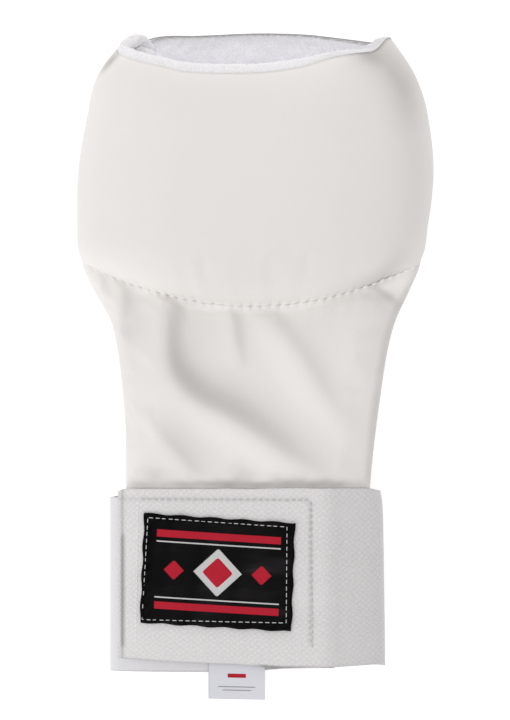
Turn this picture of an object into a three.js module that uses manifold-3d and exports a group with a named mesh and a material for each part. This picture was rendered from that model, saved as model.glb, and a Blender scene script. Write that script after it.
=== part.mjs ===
// A padded karate glove lying palm down, in millimetres. +Y points to the fingers and +Z up. The origin is on
// the surface that it lies on, below the middle of its outline, which the tables have a little to one side.
import * as THREE from "three";
import { mergeVertices } from "three/addons/utils/BufferGeometryUtils.js";
import Module from "manifold-3d";

const GAP = 0.35; // clearance between two pieces that touch
const WALL = 1.8; // leathercloth with its backing
const OUTLINE_MIDDLE = { x: -0.36, y: -1.8 }; // in the tables' coordinates

// The body is a flat tube. Each row is a section: its edges, and the heights of its side seams, of its crown
// and of its underside.
const SECTIONS = [
  { y: -110, left: -46.0, right: 40.2, seam: 11.5, crown: 20.4, floor: 3.0 },
  { y: -54, left: -46.0, right: 40.4, seam: 11.5, crown: 20.4, floor: 3.0 },
  { y: -46, left: -46.0, right: 40.5, seam: 11.4, crown: 20.4, floor: 2.9 },
  { y: -38, left: -46.0, right: 40.8, seam: 11.0, crown: 22.8, floor: 0.4 },
  { y: -24, left: -46.1, right: 42.4, seam: 10.5, crown: 24.6, floor: 0.0 },
  { y: -8, left: -47.6, right: 44.6, seam: 10.0, crown: 25.4, floor: 0.0 },
  { y: 4, left: -48.9, right: 46.7, seam: 9.7, crown: 26.0, floor: 0.0 },
  { y: 14, left: -51.0, right: 49.2, seam: 9.5, crown: 26.3, floor: 0.0 },
  { y: 24, left: -56.5, right: 53.7, seam: 9.2, crown: 26.4, floor: 0.0 },
  { y: 34, left: -61.6, right: 58.2, seam: 9.0, crown: 26.2, floor: 0.0 },
  { y: 45, left: -64.1, right: 61.2, seam: 9.0, crown: 25.8, floor: 0.0 },
  { y: 67, left: -64.3, right: 63.9, seam: 9.0, crown: 25.0, floor: 0.0 },
  { y: 88, left: -60.7, right: 62.0, seam: 9.0, crown: 24.4, floor: 0.0 },
  { y: 100, left: -57.3, right: 58.2, seam: 9.2, crown: 24.0, floor: 0.0 },
  { y: 110, left: -51.2, right: 52.4, seam: 9.6, crown: 23.4, floor: 0.0 },
  { y: 115, left: -47.7, right: 49.3, seam: 9.8, crown: 23.0, floor: 0.0 },
  { y: 120, left: -44.4, right: 46.4, seam: 10.0, crown: 22.6, floor: 0.0 },
];
const ROUNDNESS = 2.7; // 2 is an ellipse, and more is boxier
const PALM_FLATNESS = 1.12; // how far the underside's curve runs past flat
const CUFF_END = -106; // the wrist end of the body, inside the strap

// The mouth's edge on the pad side, with how far the terry roll stands out from it, and on the palm side.
// Across the section, u is -1 at the left edge and 1 at the right.
const LIP = [
  { u: -1.0, y: 111.2, roll: 1.6 },
  { u: -0.93, y: 108.4, roll: 2.6 },
  { u: -0.78, y: 105.6, roll: 3.0 },
  { u: -0.63, y: 103.8, roll: 3.0 },
  { u: -0.42, y: 101.3, roll: 3.2 },
  { u: 0.0, y: 100.9, roll: 3.3 },
  { u: 0.27, y: 102.8, roll: 3.0 },
  { u: 0.5, y: 106.2, roll: 2.0 },
  { u: 0.65, y: 107.6, roll: 1.6 },
  { u: 0.8, y: 108.8, roll: 1.2 },
  { u: 0.92, y: 112.0, roll: 1.0 },
  { u: 1.0, y: 112.8, roll: 1.0 },
];
const RIM = [
  { u: -1.0, y: 113.6 },
  { u: -0.8, y: 114.2 },
  { u: -0.48, y: 115.0 },
  { u: 0.0, y: 116.1 },
  { u: 0.43, y: 115.4 },
  { u: 0.82, y: 113.4 },
  { u: 1.0, y: 113.6 },
];

const PAD = {
  seamY: 19, // where the pad's lower seam lies in the middle
  seamRise: 15.5, // how much nearer the fingers it is at the edges
  seamPower: 2.3,
  foam: 17,
  sideFoam: 5,
  sideStep: 2.8, // how far the palm seam lies inside the pad's outline
  stepFrom: 32.5, // where that step begins along y
  stepLength: 16,
  sideTurn: 0.35, // radians up the section to where the side is full
  lowerEase: 0.24, // share of the pad's length in which it rises from its seam
  lowerPower: 2.4,
  lowerRound: 0.62,
  upperEase: 0.22, // share in which it falls towards the mouth
  upperPower: 2.2,
  lipShare: 0.5, // share of the foam that is left at the mouth
};
const PAD_ROWS = [0, 0.02, 0.055, 0.1, 0.15, 0.22, 0.32, 0.44, 0.56, 0.68, 0.78, 0.86, 0.93, 0.975, 1];

const LINING = { thick: 1.6, rimStep: 0.9 };
const ROLL_END = { depth: 0.8, columns: 3 }; // what the terry roll tapers to at each corner, and how soon
const PALM_HOLE = { y: -5, halfWidth: 29, halfLength: 25, sides: 40 };
const BINDING = { width: 2.6, flat: 0.7, lift: 0.1, edgeLow: 0.9, edgeHigh: 1.5, top: 2.2 };

// Soft folds of the hand back. Each runs through a short row of points, with its high side on the left.
const FOLDS = [
  {
    name: "long diagonal fold",
    points: [
      [-30, 21],
      [-28, 8],
      [-25, -3],
      [-7, -13],
      [15, -28],
      [27, -37],
    ],
    width: 4.6,
    height: 2.8,
  },
  {
    name: "short middle fold",
    points: [
      [-7, 20],
      [-5.5, 9],
      [-2, -2],
    ],
    width: 2.8,
    height: 1.3,
  },
  {
    name: "right diagonal fold",
    points: [
      [3, 20],
      [14.5, 10],
      [23, -1],
      [31, -16],
    ],
    width: 3.8,
    height: 1.9,
  },
  {
    name: "left edge fold",
    points: [
      [-48, 30],
      [-46, 22],
      [-44, 10],
    ],
    width: 3.2,
    height: 1.8,
  },
  {
    name: "fold above the strap",
    points: [
      [-33, -22],
      [-28, -30],
      [-21, -40],
    ],
    width: 4.0,
    height: 1.6,
  },
  {
    name: "tuck at the pad's right corner",
    points: [
      [41, 27],
      [46, 25],
      [54, 19],
    ],
    width: 2.8,
    height: -1.8,
  },
];

const FOLD_FADE = { start: 0.12, end: 0.97, power: 0.8, aboveStrap: 9, sides: 1.6 };
const HAND_ROWS = { inStrap: 4, inStrapShare: 0.38, free: 18 }; // of the hand back, from the wrist up

// The strap is one flat spiral: a smooth band under the front flap, round the left and to the middle of the
// underside, then the elastic round the right and over the front to its hem.
const STRAP = {
  width: 63,
  topEdge: -45.3,
  middle: -3.1,
  halfWidth: 48.8,
  centreHeight: 12.5,
  roundness: 3,
  underSeam: -4, // where the two bands meet on the underside
  bandSteps: 36,
  elasticSteps: 42,
};
const BAND = { thick: 1.4, rise: 9.8, frontEnd: 28, drop: 2.1, hiddenDrop: 0.4 };
const ELASTIC = { thick: 1.8, rise: 13.7, hemEnd: -49.3, hemWidth: 3.2, hemThick: 2.6, drop: 1.05 };
const HOOK_PATCH = { left: -38, right: 22, top: -49.5, bottom: -101.5, steps: 12 };
const LABEL = {
  width: 53.5,
  height: 38.6,
  x: -13.6,
  y: -74.4,
  turn: -3.7, // degrees
  thick: 0.9,
  pucker: 0.3,
  puckers: 6,
};
const TAG = {
  width: 20,
  x: -7,
  top: -103.4,
  free: -108.4, // where it leaves the strap
  bottom: -119.7,
  turn: -1.2,
  thick: 0.8,
  droop: 2.2,
};

const COLUMNS = 28; // points across the body, from seam to seam
const WRIST_ROWS = [CUFF_END, -74, -50, -45, -41, -36, -15, 8, 22, 32]; // rows of the palm's sheet
const CHAMBER_ROWS = [40, 46, 52, 67, 88]; // rows that the sheets round the fingers share
const MOUTH_SHARES = [0.45, 0.78, 1]; // and their rows from there to the mouth
const FINE_STEPS = 2000; // steps along a curve when it is split evenly

const clamp01 = (value) => Math.min(1, Math.max(0, value));
const smooth = (value) => clamp01(value) ** 2 * (3 - 2 * clamp01(value));
const mix = (a, b, share) => a + (b - a) * share;
const span = (count) => Array.from({ length: count + 1 }, (_, i) => i / count);

// A smooth curve through a table's rows: one of its columns against another.
function curveOf(rows, along, column) {
  const slope = (i) => {
    const before = rows[Math.max(0, i - 1)];
    const after = rows[Math.min(rows.length - 1, i + 1)];
    return (after[column] - before[column]) / (after[along] - before[along]);
  };
  return (at) => {
    const place = Math.min(Math.max(at, rows[0][along]), rows[rows.length - 1][along]);
    let i = 0;
    while (i < rows.length - 2 && rows[i + 1][along] < place) i += 1;
    const step = rows[i + 1][along] - rows[i][along];
    const t = (place - rows[i][along]) / step;
    const start = rows[i][column] * (1 + 2 * t) * (1 - t) ** 2 + slope(i) * step * t * (1 - t) ** 2;
    const end = rows[i + 1][column] * t * t * (3 - 2 * t) + slope(i + 1) * step * t * t * (t - 1);
    return start + end;
  };
}

const leftEdge = curveOf(SECTIONS, "y", "left");
const rightEdge = curveOf(SECTIONS, "y", "right");
const seamHeight = curveOf(SECTIONS, "y", "seam");
const crownHeight = curveOf(SECTIONS, "y", "crown");
const floorCurve = curveOf(SECTIONS, "y", "floor");
const floorHeight = (y) => Math.max(0, floorCurve(y));
const lipY = curveOf(LIP, "u", "y");
const rollDepth = curveOf(LIP, "u", "roll");
const rimY = curveOf(RIM, "u", "y");
const padSeamY = (u) => PAD.seamY + PAD.seamRise * Math.abs(u) ** PAD.seamPower;

// A rounded rectangle's cosine and sine: angle 0 is the right seam, pi the left one.
const across = (angle, power) => Math.sign(Math.cos(angle)) * Math.abs(Math.cos(angle)) ** (2 / power);
const upward = (angle, power) => Math.max(0, Math.sin(angle)) ** (2 / power);

// Values from one to another that split the path pointAt(value) into steps of equal length.
function evenSteps(pointAt, from, to, count) {
  const fine = span(FINE_STEPS).map((share) => mix(from, to, share));
  const lengths = [0];
  fine.slice(1).forEach((value, i) => {
    const before = new THREE.Vector3(...pointAt(fine[i]));
    lengths.push(lengths[i] + before.distanceTo(new THREE.Vector3(...pointAt(value))));
  });
  return span(count).map((share) => {
    const wanted = share * lengths[lengths.length - 1];
    return fine[lengths.findIndex((length) => length >= wanted - 1e-9)];
  });
}

// The body's section at y, a given depth inside its outer face. Side 1 is the back of the hand, -1 the palm.
function bodyPoint(y, angle, side, depth) {
  const inPad = smooth((y - PAD.stepFrom) / PAD.stepLength);
  const halfWidth = (rightEdge(y) - leftEdge(y)) / 2 - PAD.sideStep * inPad - depth;
  const middle = (rightEdge(y) + leftEdge(y)) / 2;
  const seam = seamHeight(y);
  const rise = (side > 0 ? crownHeight(y) - seam : seam - floorHeight(y)) - depth;
  const sine = upward(angle, ROUNDNESS) * (side > 0 ? 1 : PALM_FLATNESS);
  const z = seam + side * (GAP / 2 + (rise - GAP / 2) * Math.min(1, sine));
  return [middle + halfWidth * across(angle, ROUNDNESS), y, z];
}

// The rows of a sheet round the fingers that ends at a given y.
function chamberRows(end) {
  const last = CHAMBER_ROWS[CHAMBER_ROWS.length - 1];
  return [...CHAMBER_ROWS, ...MOUTH_SHARES.map((share) => mix(last, end, share))];
}

// How full the foam is at a share of the way from the pad's seam to its lip.
function pillow(share) {
  const lower = 1 - clamp01(1 - share / PAD.lowerEase) ** PAD.lowerPower;
  const upper = clamp01((share - 1 + PAD.upperEase) / PAD.upperEase) ** PAD.upperPower;
  return lower ** PAD.lowerRound * (1 - (1 - PAD.lipShare) * upper);
}

function padSkinPoint(y, angle) {
  const u = across(angle, ROUNDNESS);
  const share = (y - padSeamY(u)) / (lipY(u) - padSeamY(u));
  const fullness = pillow(share);
  const fromSide = Math.min(angle, Math.PI - angle) / PAD.sideTurn;
  const [x, , z] = bodyPoint(y, angle, 1, 0);
  const bulge = PAD.sideFoam * fullness * u * smooth(fromSide);
  return [x + bulge, y, z + PAD.foam * fullness * upward(angle, ROUNDNESS)];
}

// The height of the folds at a point: each is a rounded step down from its high side to its low side.
function foldHeight(x, y) {
  let height = 0;
  for (const fold of FOLDS) {
    const points = fold.points;
    let nearest = { distance: Infinity, side: 0, along: 0 };
    for (let i = 0; i < points.length - 1; i += 1) {
      const [ax, ay] = points[i];
      const [bx, by] = points[i + 1];
      const length = Math.hypot(bx - ax, by - ay);
      const t = clamp01(((x - ax) * (bx - ax) + (y - ay) * (by - ay)) / length ** 2);
      const distance = Math.hypot(x - mix(ax, bx, t), y - mix(ay, by, t));
      const side = ((bx - ax) * (y - ay) - (by - ay) * (x - ax)) / length;
      if (distance < nearest.distance) nearest = { distance, side, along: (i + t) / (points.length - 1) };
    }
    const offset = Math.sign(nearest.side) * nearest.distance;
    const taper = Math.sin(Math.PI * mix(FOLD_FADE.start, FOLD_FADE.end, nearest.along)) ** FOLD_FADE.power;
    const step = -(offset / fold.width) * Math.exp(-0.5 * (offset / fold.width) ** 2);
    height += fold.height * taper * step;
  }
  return height;
}

function foldedPoint(y, angle, depth) {
  const [x, , z] = bodyPoint(y, angle, 1, depth);
  const ease = smooth((y - STRAP.topEdge) / FOLD_FADE.aboveStrap);
  return [x, y, z + foldHeight(x, y) * ease * smooth(upward(angle, ROUNDNESS) * FOLD_FADE.sides)];
}

// A closed solid through stations. Each has a row of outer points and a row of inner points, as many of each.
function loft(stations, ring = false) {
  const rowLength = stations[0].outer.length;
  const loopLength = 2 * rowLength;
  const vertices = stations.flatMap(({ outer, inner }) => [...outer, ...[...inner].reverse()]);
  const at = (station, i) => (station % stations.length) * loopLength + (i % loopLength);
  const triangles = [];
  const quad = (a, b, c, d) => triangles.push([a, b, c], [a, c, d]);
  for (let s = 0; s < stations.length - (ring ? 0 : 1); s += 1) {
    for (let i = 0; i < loopLength; i += 1) quad(at(s, i), at(s, i + 1), at(s + 1, i + 1), at(s + 1, i));
  }
  if (!ring) {
    const last = stations.length - 1;
    for (let i = 0; i < rowLength - 1; i += 1) {
      const opposite = loopLength - 1 - i;
      quad(at(0, i), at(0, opposite), at(0, opposite - 1), at(0, i + 1));
      quad(at(last, i + 1), at(last, opposite - 1), at(last, opposite), at(last, i));
    }
  }
  let volume = 0;
  for (const [a, b, c] of triangles) {
    const [p, q, r] = [a, b, c].map((index) => new THREE.Vector3(...vertices[index]));
    volume += p.dot(q.cross(r)) / 6;
  }
  if (volume < 0) triangles.forEach((triangle) => triangle.reverse());
  const geometry = new THREE.BufferGeometry();
  geometry.setAttribute("position", new THREE.Float32BufferAttribute(vertices.flat(), 3));
  geometry.setIndex(triangles.flat());
  return geometry;
}

const material = (color, roughness) => new THREE.MeshStandardMaterial({ color, roughness, metalness: 0 });
const leathercloth = material(0xe6e2de, 0.5);
const terryCloth = material(0xe9e7ee, 0.95);
const brushedBand = material(0xe8e6ea, 0.85);
const elasticWeave = material(0xe2e1e3, 0.9);
const hookTape = material(0xe4e4e4, 0.8);
const labelCloth = material(0x111214, 0.5);
const tagSatin = material(0xe2e2ec, 0.6);

const glove = new THREE.Group();
glove.position.set(-OUTLINE_MIDDLE.x, -OUTLINE_MIDDLE.y, 0);
function addPiece(name, geometry, finish) {
  const mesh = new THREE.Mesh(geometry, finish);
  mesh.name = name;
  glove.add(mesh);
}

// The columns of the sheets run at the same angles in every section, evenly round the one in the pad's middle.
const midPad = CHAMBER_ROWS[3];
const topAngles = evenSteps((angle) => bodyPoint(midPad, angle, 1, 0), 0, Math.PI, COLUMNS);
const palmAngles = evenSteps((angle) => bodyPoint(midPad, angle, -1, 0), 0, Math.PI, COLUMNS);

// The knuckle pad: foam under leathercloth, from its stitched seam to the lip of the mouth.
function knucklePad() {
  return PAD_ROWS.map((share) => {
    const yAt = (angle) => {
      const u = across(angle, ROUNDNESS);
      return mix(padSeamY(u) + GAP / 2, lipY(u), share);
    };
    return {
      outer: topAngles.map((angle) => padSkinPoint(yAt(angle), angle)),
      inner: topAngles.map((angle) => bodyPoint(yAt(angle), angle, 1, WALL)),
    };
  });
}
addPiece("knuckle_pad", loft(knucklePad()), leathercloth);

// The terry roll over the foam's end, along the lip from corner to corner. Share goes up the end of the foam.
const ROLL_NOSE = [
  { share: 0.99, reach: 0 },
  { share: 0.92, reach: 0.66 },
  { share: 0.62, reach: 1 },
  { share: 0.01, reach: 0 },
  { share: 0.06, reach: 0.62 },
  { share: 0.28, reach: 0.95 },
];

function mouthRoll() {
  return topAngles.slice(1, -1).map((angle, i, angles) => {
    const u = across(angle, ROUNDNESS);
    const fullness = smooth((1 + Math.min(i, angles.length - 1 - i)) / ROLL_END.columns);
    const depth = mix(ROLL_END.depth, rollDepth(u), fullness);
    const y = lipY(u);
    const low = new THREE.Vector3(...bodyPoint(y, angle, 1, WALL));
    const high = new THREE.Vector3(...padSkinPoint(y, angle));
    const points = ROLL_NOSE.map(({ share, reach }) => {
      const [x, , z] = low.clone().lerp(high, share).toArray();
      return [x, y + Math.max(GAP, depth * reach), z];
    });
    return { outer: points.slice(0, 3), inner: points.slice(3) };
  });
}
addPiece("mouth_roll", loft(mouthRoll()), terryCloth);

// The hand back: a folded sheet from the pad's seam to the wrist.
function handBack() {
  const { inStrap, inStrapShare, free } = HAND_ROWS;
  const hidden = span(inStrap).map((t) => t * inStrapShare);
  const shown = span(free).map((t) => mix(inStrapShare, 1, t));
  return [...hidden, ...shown.slice(1)].map((share) => {
    const yAt = (angle) => mix(CUFF_END, padSeamY(across(angle, ROUNDNESS)) - GAP / 2, share);
    return {
      outer: topAngles.map((angle) => foldedPoint(yAt(angle), angle, 0)),
      inner: topAngles.map((angle) => foldedPoint(yAt(angle), angle, WALL)),
    };
  });
}
addPiece("hand_back", loft(handBack()), leathercloth);

// The palm side: one sheet from the rim of the mouth to the wrist, with the oval opening for thumb and palm.
function palmSide() {
  return palmAngles.map((angle) => {
    const rows = [...WRIST_ROWS, ...chamberRows(rimY(across(angle, ROUNDNESS)))];
    return {
      outer: rows.map((y) => bodyPoint(y, angle, -1, 0)),
      inner: rows.map((y) => bodyPoint(y, angle, -1, WALL)),
    };
  });
}

const wasm = await Module();
wasm.setup();

function toSolid(geometry) {
  const copy = new THREE.BufferGeometry().copy(geometry);
  const bare = mergeVertices(copy.deleteAttribute("normal").deleteAttribute("uv"));
  return new wasm.Manifold(
    new wasm.Mesh({
      numProp: 3,
      vertProperties: bare.attributes.position.array,
      triVerts: new Uint32Array(bare.index.array),
    }),
  );
}

function toGeometry(solid) {
  const mesh = solid.getMesh();
  const geometry = new THREE.BufferGeometry();
  geometry.setAttribute("position", new THREE.BufferAttribute(mesh.vertProperties, 3));
  geometry.setIndex(new THREE.BufferAttribute(mesh.triVerts, 1));
  return geometry;
}

const holeCutter = new THREE.CylinderGeometry(1, 1, 6 * WALL, PALM_HOLE.sides)
  .rotateX(Math.PI / 2)
  .scale(PALM_HOLE.halfWidth, PALM_HOLE.halfLength, 1)
  .translate(0, PALM_HOLE.y, 0);
addPiece("palm_side", toGeometry(toSolid(loft(palmSide())).subtract(toSolid(holeCutter))), leathercloth);

// A bound edge inside the oval opening.
function palmBinding() {
  const outside = GAP;
  const inside = GAP + BINDING.width;
  const middle = mix(outside, inside, BINDING.flat);
  return span(PALM_HOLE.sides)
    .slice(1)
    .map((share) => {
      const angle = share * 2 * Math.PI;
      const point = (inset, z) => [
        (PALM_HOLE.halfWidth - inset) * Math.cos(angle),
        PALM_HOLE.y + (PALM_HOLE.halfLength - inset) * Math.sin(angle),
        z,
      ];
      return {
        outer: [point(outside, BINDING.lift), point(middle, BINDING.lift), point(inside, BINDING.edgeLow)],
        inner: [point(outside, BINDING.top), point(middle, BINDING.top), point(inside, BINDING.edgeHigh)],
      };
    });
}
addPiece("palm_binding", loft(palmBinding(), true), terryCloth);

// The terry sleeve of the finger chamber, open at both ends.
function terryLining() {
  const outside = WALL + GAP;
  const inside = outside + LINING.thick;
  const stations = [];
  const addSide = (side, angle) => {
    const u = across(angle, ROUNDNESS);
    const end = side > 0 ? Math.min(lipY(u), rimY(u) - LINING.rimStep) : rimY(u) - LINING.rimStep;
    const rows = chamberRows(end);
    stations.push({
      outer: rows.map((y) => bodyPoint(y, angle, side, outside)),
      inner: rows.map((y) => bodyPoint(y, angle, side, inside)),
    });
  };
  topAngles.forEach((angle) => addSide(1, angle));
  [...palmAngles].reverse().forEach((angle) => addSide(-1, angle));
  return stations;
}
addPiece("terry_lining", loft(terryLining(), true), terryCloth);

// A point of the strap's spiral: its angle from the right fold, how high its front stands, and how deep inside
// its outer face the point is.
function strapPoint(angle, frontRise, depth, y) {
  const cosine = Math.cos(angle);
  const sine = Math.sin(angle);
  const width = STRAP.halfWidth - depth;
  const height = (sine > 0 ? frontRise : STRAP.centreHeight) - depth;
  const x = STRAP.middle + width * Math.sign(cosine) * Math.abs(cosine) ** (2 / STRAP.roundness);
  const z = STRAP.centreHeight + height * Math.sign(sine) * Math.abs(sine) ** (2 / STRAP.roundness);
  return [x, y, z];
}

// The angle at which the strap's front passes x, and at which its underside does.
function strapAngle(x) {
  const u = (x - STRAP.middle) / STRAP.halfWidth;
  return Math.acos(Math.sign(u) * Math.abs(u) ** (STRAP.roundness / 2));
}
const underAngle = (x) => 2 * Math.PI - strapAngle(x);

// The height of the front of a strap layer at x.
function strapFrontHeight(x, frontRise, depth) {
  const u = clamp01(Math.abs(x - STRAP.middle) / (STRAP.halfWidth - depth));
  return STRAP.centreHeight + (frontRise - depth) * (1 - u ** STRAP.roundness) ** (1 / STRAP.roundness);
}

const strapRows = (drop) => span(4).map((share) => STRAP.topEdge - drop - STRAP.width * share);

function smoothBand() {
  const start = strapAngle(BAND.frontEnd);
  const end = underAngle(STRAP.underSeam - GAP / 2);
  return evenSteps((angle) => strapPoint(angle, BAND.rise, 0, 0), start, end, STRAP.bandSteps).map((angle) => {
    const turned = smooth((angle - Math.PI) / (end - Math.PI));
    const hidden = smooth((strapPoint(angle, BAND.rise, 0, 0)[0] - TAG.x) / TAG.width);
    const rows = strapRows(mix(mix(BAND.drop, BAND.hiddenDrop, hidden), ELASTIC.drop, turned));
    return {
      outer: rows.map((y) => strapPoint(angle, BAND.rise, 0, y)),
      inner: rows.map((y) => strapPoint(angle, BAND.rise, BAND.thick, y)),
    };
  });
}
addPiece("smooth_band", loft(smoothBand()), brushedBand);

function elasticStrap() {
  const start = underAngle(STRAP.underSeam + GAP / 2) - 2 * Math.PI;
  const end = strapAngle(ELASTIC.hemEnd);
  const hemStart = strapAngle(ELASTIC.hemEnd + ELASTIC.hemWidth);
  const hem = span(3).map((share) => mix(hemStart, end, share));
  const run = evenSteps((angle) => strapPoint(angle, ELASTIC.rise, 0, 0), start, hemStart, STRAP.elasticSteps);
  return [...run.slice(0, -1), ...hem].map((angle) => {
    const turned = smooth(-angle / -start);
    const rows = strapRows(ELASTIC.drop * turned);
    const inHem = clamp01((angle - hemStart) / (end - hemStart));
    const bead = (ELASTIC.hemThick - ELASTIC.thick) * Math.sin(Math.PI * inHem);
    return {
      outer: rows.map((y) => strapPoint(angle, ELASTIC.rise, -bead, y)),
      inner: rows.map((y) => strapPoint(angle, ELASTIC.rise, ELASTIC.thick, y)),
    };
  });
}
addPiece("elastic_strap", loft(elasticStrap()), elasticWeave);

// The hook tape that closes the strap, between the flap and the smooth band.
function hookPatch() {
  const rows = [HOOK_PATCH.top, HOOK_PATCH.bottom];
  return span(HOOK_PATCH.steps).map((share) => {
    const x = mix(HOOK_PATCH.left, HOOK_PATCH.right, share);
    const top = strapFrontHeight(x, ELASTIC.rise, ELASTIC.thick) - GAP;
    const bottom = strapFrontHeight(x, BAND.rise, 0) + GAP;
    return { outer: rows.map((y) => [x, y, top]), inner: rows.map((y) => [x, y, bottom]) };
  });
}
addPiece("hook_patch", loft(hookPatch()), hookTape);

// A flat piece turned about its middle and laid on the flap.
function turnedPoint(piece, across, along, height) {
  const turn = THREE.MathUtils.degToRad(piece.turn);
  const x = piece.x + across * Math.cos(turn) - along * Math.sin(turn);
  const y = piece.y + across * Math.sin(turn) + along * Math.cos(turn);
  return [x, y, strapFrontHeight(x, ELASTIC.rise, 0) + height];
}

function labelPatch() {
  const rows = span(6).map((share) => LABEL.height * (share - 0.5));
  return span(14).map((share) => {
    const across = LABEL.width * (share - 0.5);
    const pucker = LABEL.pucker * Math.sin(share * Math.PI * LABEL.puckers) ** 2;
    return {
      outer: rows.map((along) => turnedPoint(LABEL, across, along, GAP + LABEL.thick + pucker)),
      inner: rows.map((along) => turnedPoint(LABEL, across, along, GAP)),
    };
  });
}
addPiece("label_patch", loft(labelPatch()), labelCloth);

// The folded size tag, sewn under the flap's wrist edge.
function sizeTag() {
  const turn = THREE.MathUtils.degToRad(TAG.turn);
  const columns = span(4).map((share) => TAG.width * (share - 0.5));
  const under = strapFrontHeight(TAG.x, BAND.rise, 0) + GAP;
  return span(5).map((share) => {
    const y = mix(TAG.top, TAG.bottom, share);
    const droop = TAG.droop * smooth((TAG.free - y) / (TAG.free - TAG.bottom));
    const point = (across, height) => [
      TAG.x + across * Math.cos(turn),
      Math.max(TAG.bottom, y + across * Math.sin(turn)),
      under - droop + height,
    ];
    return {
      outer: columns.map((across) => point(across, TAG.thick)),
      inner: columns.map((across) => point(across, 0)),
    };
  });
}
addPiece("size_tag", loft(sizeTag()), tagSatin);

export default glove;
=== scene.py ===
import math
import bpy
import numpy as np
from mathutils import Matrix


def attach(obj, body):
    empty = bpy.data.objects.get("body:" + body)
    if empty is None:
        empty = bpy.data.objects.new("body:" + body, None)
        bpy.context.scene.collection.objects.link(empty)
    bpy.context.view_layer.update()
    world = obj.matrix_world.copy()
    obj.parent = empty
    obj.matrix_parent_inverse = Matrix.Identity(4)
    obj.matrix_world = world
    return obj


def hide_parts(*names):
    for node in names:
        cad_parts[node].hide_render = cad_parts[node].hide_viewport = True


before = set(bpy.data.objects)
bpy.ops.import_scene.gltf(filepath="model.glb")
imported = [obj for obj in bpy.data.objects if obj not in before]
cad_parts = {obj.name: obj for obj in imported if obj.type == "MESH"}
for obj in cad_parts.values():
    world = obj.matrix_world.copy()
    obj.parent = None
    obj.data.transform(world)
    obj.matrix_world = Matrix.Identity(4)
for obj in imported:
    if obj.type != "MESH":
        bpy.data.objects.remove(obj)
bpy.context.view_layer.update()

# Shapes are worked out in millimetres, in the tables' own coordinates, and go to metres when a mesh is made.
mm = 0.001
outlineMiddle = np.array([-0.36, -1.8, 0.0])  # this point of the tables is the origin
gap = 0.35  # between two pieces that touch
wall = 1.8  # leathercloth with its backing
pixel = 0.355  # millimetres that a pixel of the photograph covers


def fromPhoto(spots):
    # x = (column - 256) * pixel, y = (360 - row) * pixel
    spots = np.asarray(spots, float)
    return np.stack([(spots[:, 0] - 256) * pixel, (360 - spots[:, 1]) * pixel], axis=1)


def mix(a, b, share):
    # a at share 0, b at share 1
    return a + (b - a) * share


def smooth(value):
    # 3 v^2 - 2 v^3 from 0 to 1, and level outside
    value = np.clip(value, 0, 1)
    return value * value * (3 - 2 * value)


def bell(distance, width):
    # exp(-(d / w)^2 / 2)
    return np.exp(-0.5 * (distance / width) ** 2)


def runLengths(points):
    # how far along a polyline each of its points lies
    return np.append(0, np.linalg.norm(np.diff(points, axis=0), axis=1).cumsum())


def curve(xs, ys):
    # a cubic through each two rows, whose slope at a row is that of the chord between its neighbours
    xs, ys = np.asarray(xs, float), np.asarray(ys, float)
    row = np.arange(len(xs))
    before, after = np.maximum(row - 1, 0), np.minimum(row + 1, len(xs) - 1)
    slopes = (ys[after] - ys[before]) / (xs[after] - xs[before])

    def at(x):
        x = np.clip(x, xs[0], xs[-1])
        i = np.clip(np.searchsorted(xs, x) - 1, 0, len(xs) - 2)
        step = xs[i + 1] - xs[i]
        t = (x - xs[i]) / step
        start = ys[i] * (1 + 2 * t) * (1 - t) ** 2 + slopes[i] * step * t * (1 - t) ** 2
        return start + ys[i + 1] * t * t * (3 - 2 * t) + slopes[i + 1] * step * t * t * (t - 1)

    return at


def grain(x, y, size, seed, octaves=3):
    # value noise: random heights on a lattice, blended by smooth(x) * smooth(y) and halved with each octave
    cells = 64
    total = np.zeros(np.broadcast(x, y).shape)
    for octave in range(octaves):
        table = np.random.default_rng(seed + octave).uniform(-1, 1, (cells, cells))
        u, v = x / size * 2 ** octave, y / size * 2 ** octave
        i, j = np.floor(u).astype(int), np.floor(v).astype(int)
        s, t = smooth(u - i), smooth(v - j)
        left, right, below, above = i % cells, (i + 1) % cells, j % cells, (j + 1) % cells
        low = mix(table[left, below], table[right, below], s)
        high = mix(table[left, above], table[right, above], s)
        total += mix(low, high, t) / 2 ** octave
    return total


# Meshes

def makeMesh(name, points, faces, uvs=None, shade=None, rounded=None, caps=()):
    # points in millimetres, four-cornered faces and caps with more corners, and which of the faces are smooth
    points = (np.asarray(points, float) - outlineMiddle) * mm
    mesh = bpy.data.meshes.new(name)
    mesh.from_pydata(points.tolist(), [], faces.tolist() + list(caps))
    if uvs is not None:
        layer = mesh.uv_layers.new(name="weave")
        loops = np.empty(len(mesh.loops), dtype=np.int32)
        mesh.loops.foreach_get("vertex_index", loops)
        layer.data.foreach_set("uv", (uvs[loops] * mm).astype(np.float32).ravel())
    if shade is not None:
        mesh.attributes.new("shade", "FLOAT", "POINT").data.foreach_set("value", shade.astype(np.float32))
    mesh.polygons.foreach_set("use_smooth", np.full(len(mesh.polygons), True) if rounded is None else rounded)
    mesh.validate()
    mesh.update()
    piece = bpy.data.objects.new(name, mesh)
    bpy.context.scene.collection.objects.link(piece)
    return piece


def gridFaces(rows, columns, first=0, closedRows=False, closedColumns=False):
    # the faces (r, c), (r, c + 1), (r + 1, c + 1), (r + 1, c) of a grid whose points start at first
    r = np.arange(rows if closedRows else rows - 1)[:, None]
    c = np.arange(columns if closedColumns else columns - 1)[None, :]
    a = r * columns + c
    b = r * columns + (c + 1) % columns
    d = ((r + 1) % rows) * columns + c
    e = ((r + 1) % rows) * columns + (c + 1) % columns
    return np.stack([a + 0 * b, b, e, d], axis=-1).reshape(-1, 4) + first


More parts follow.
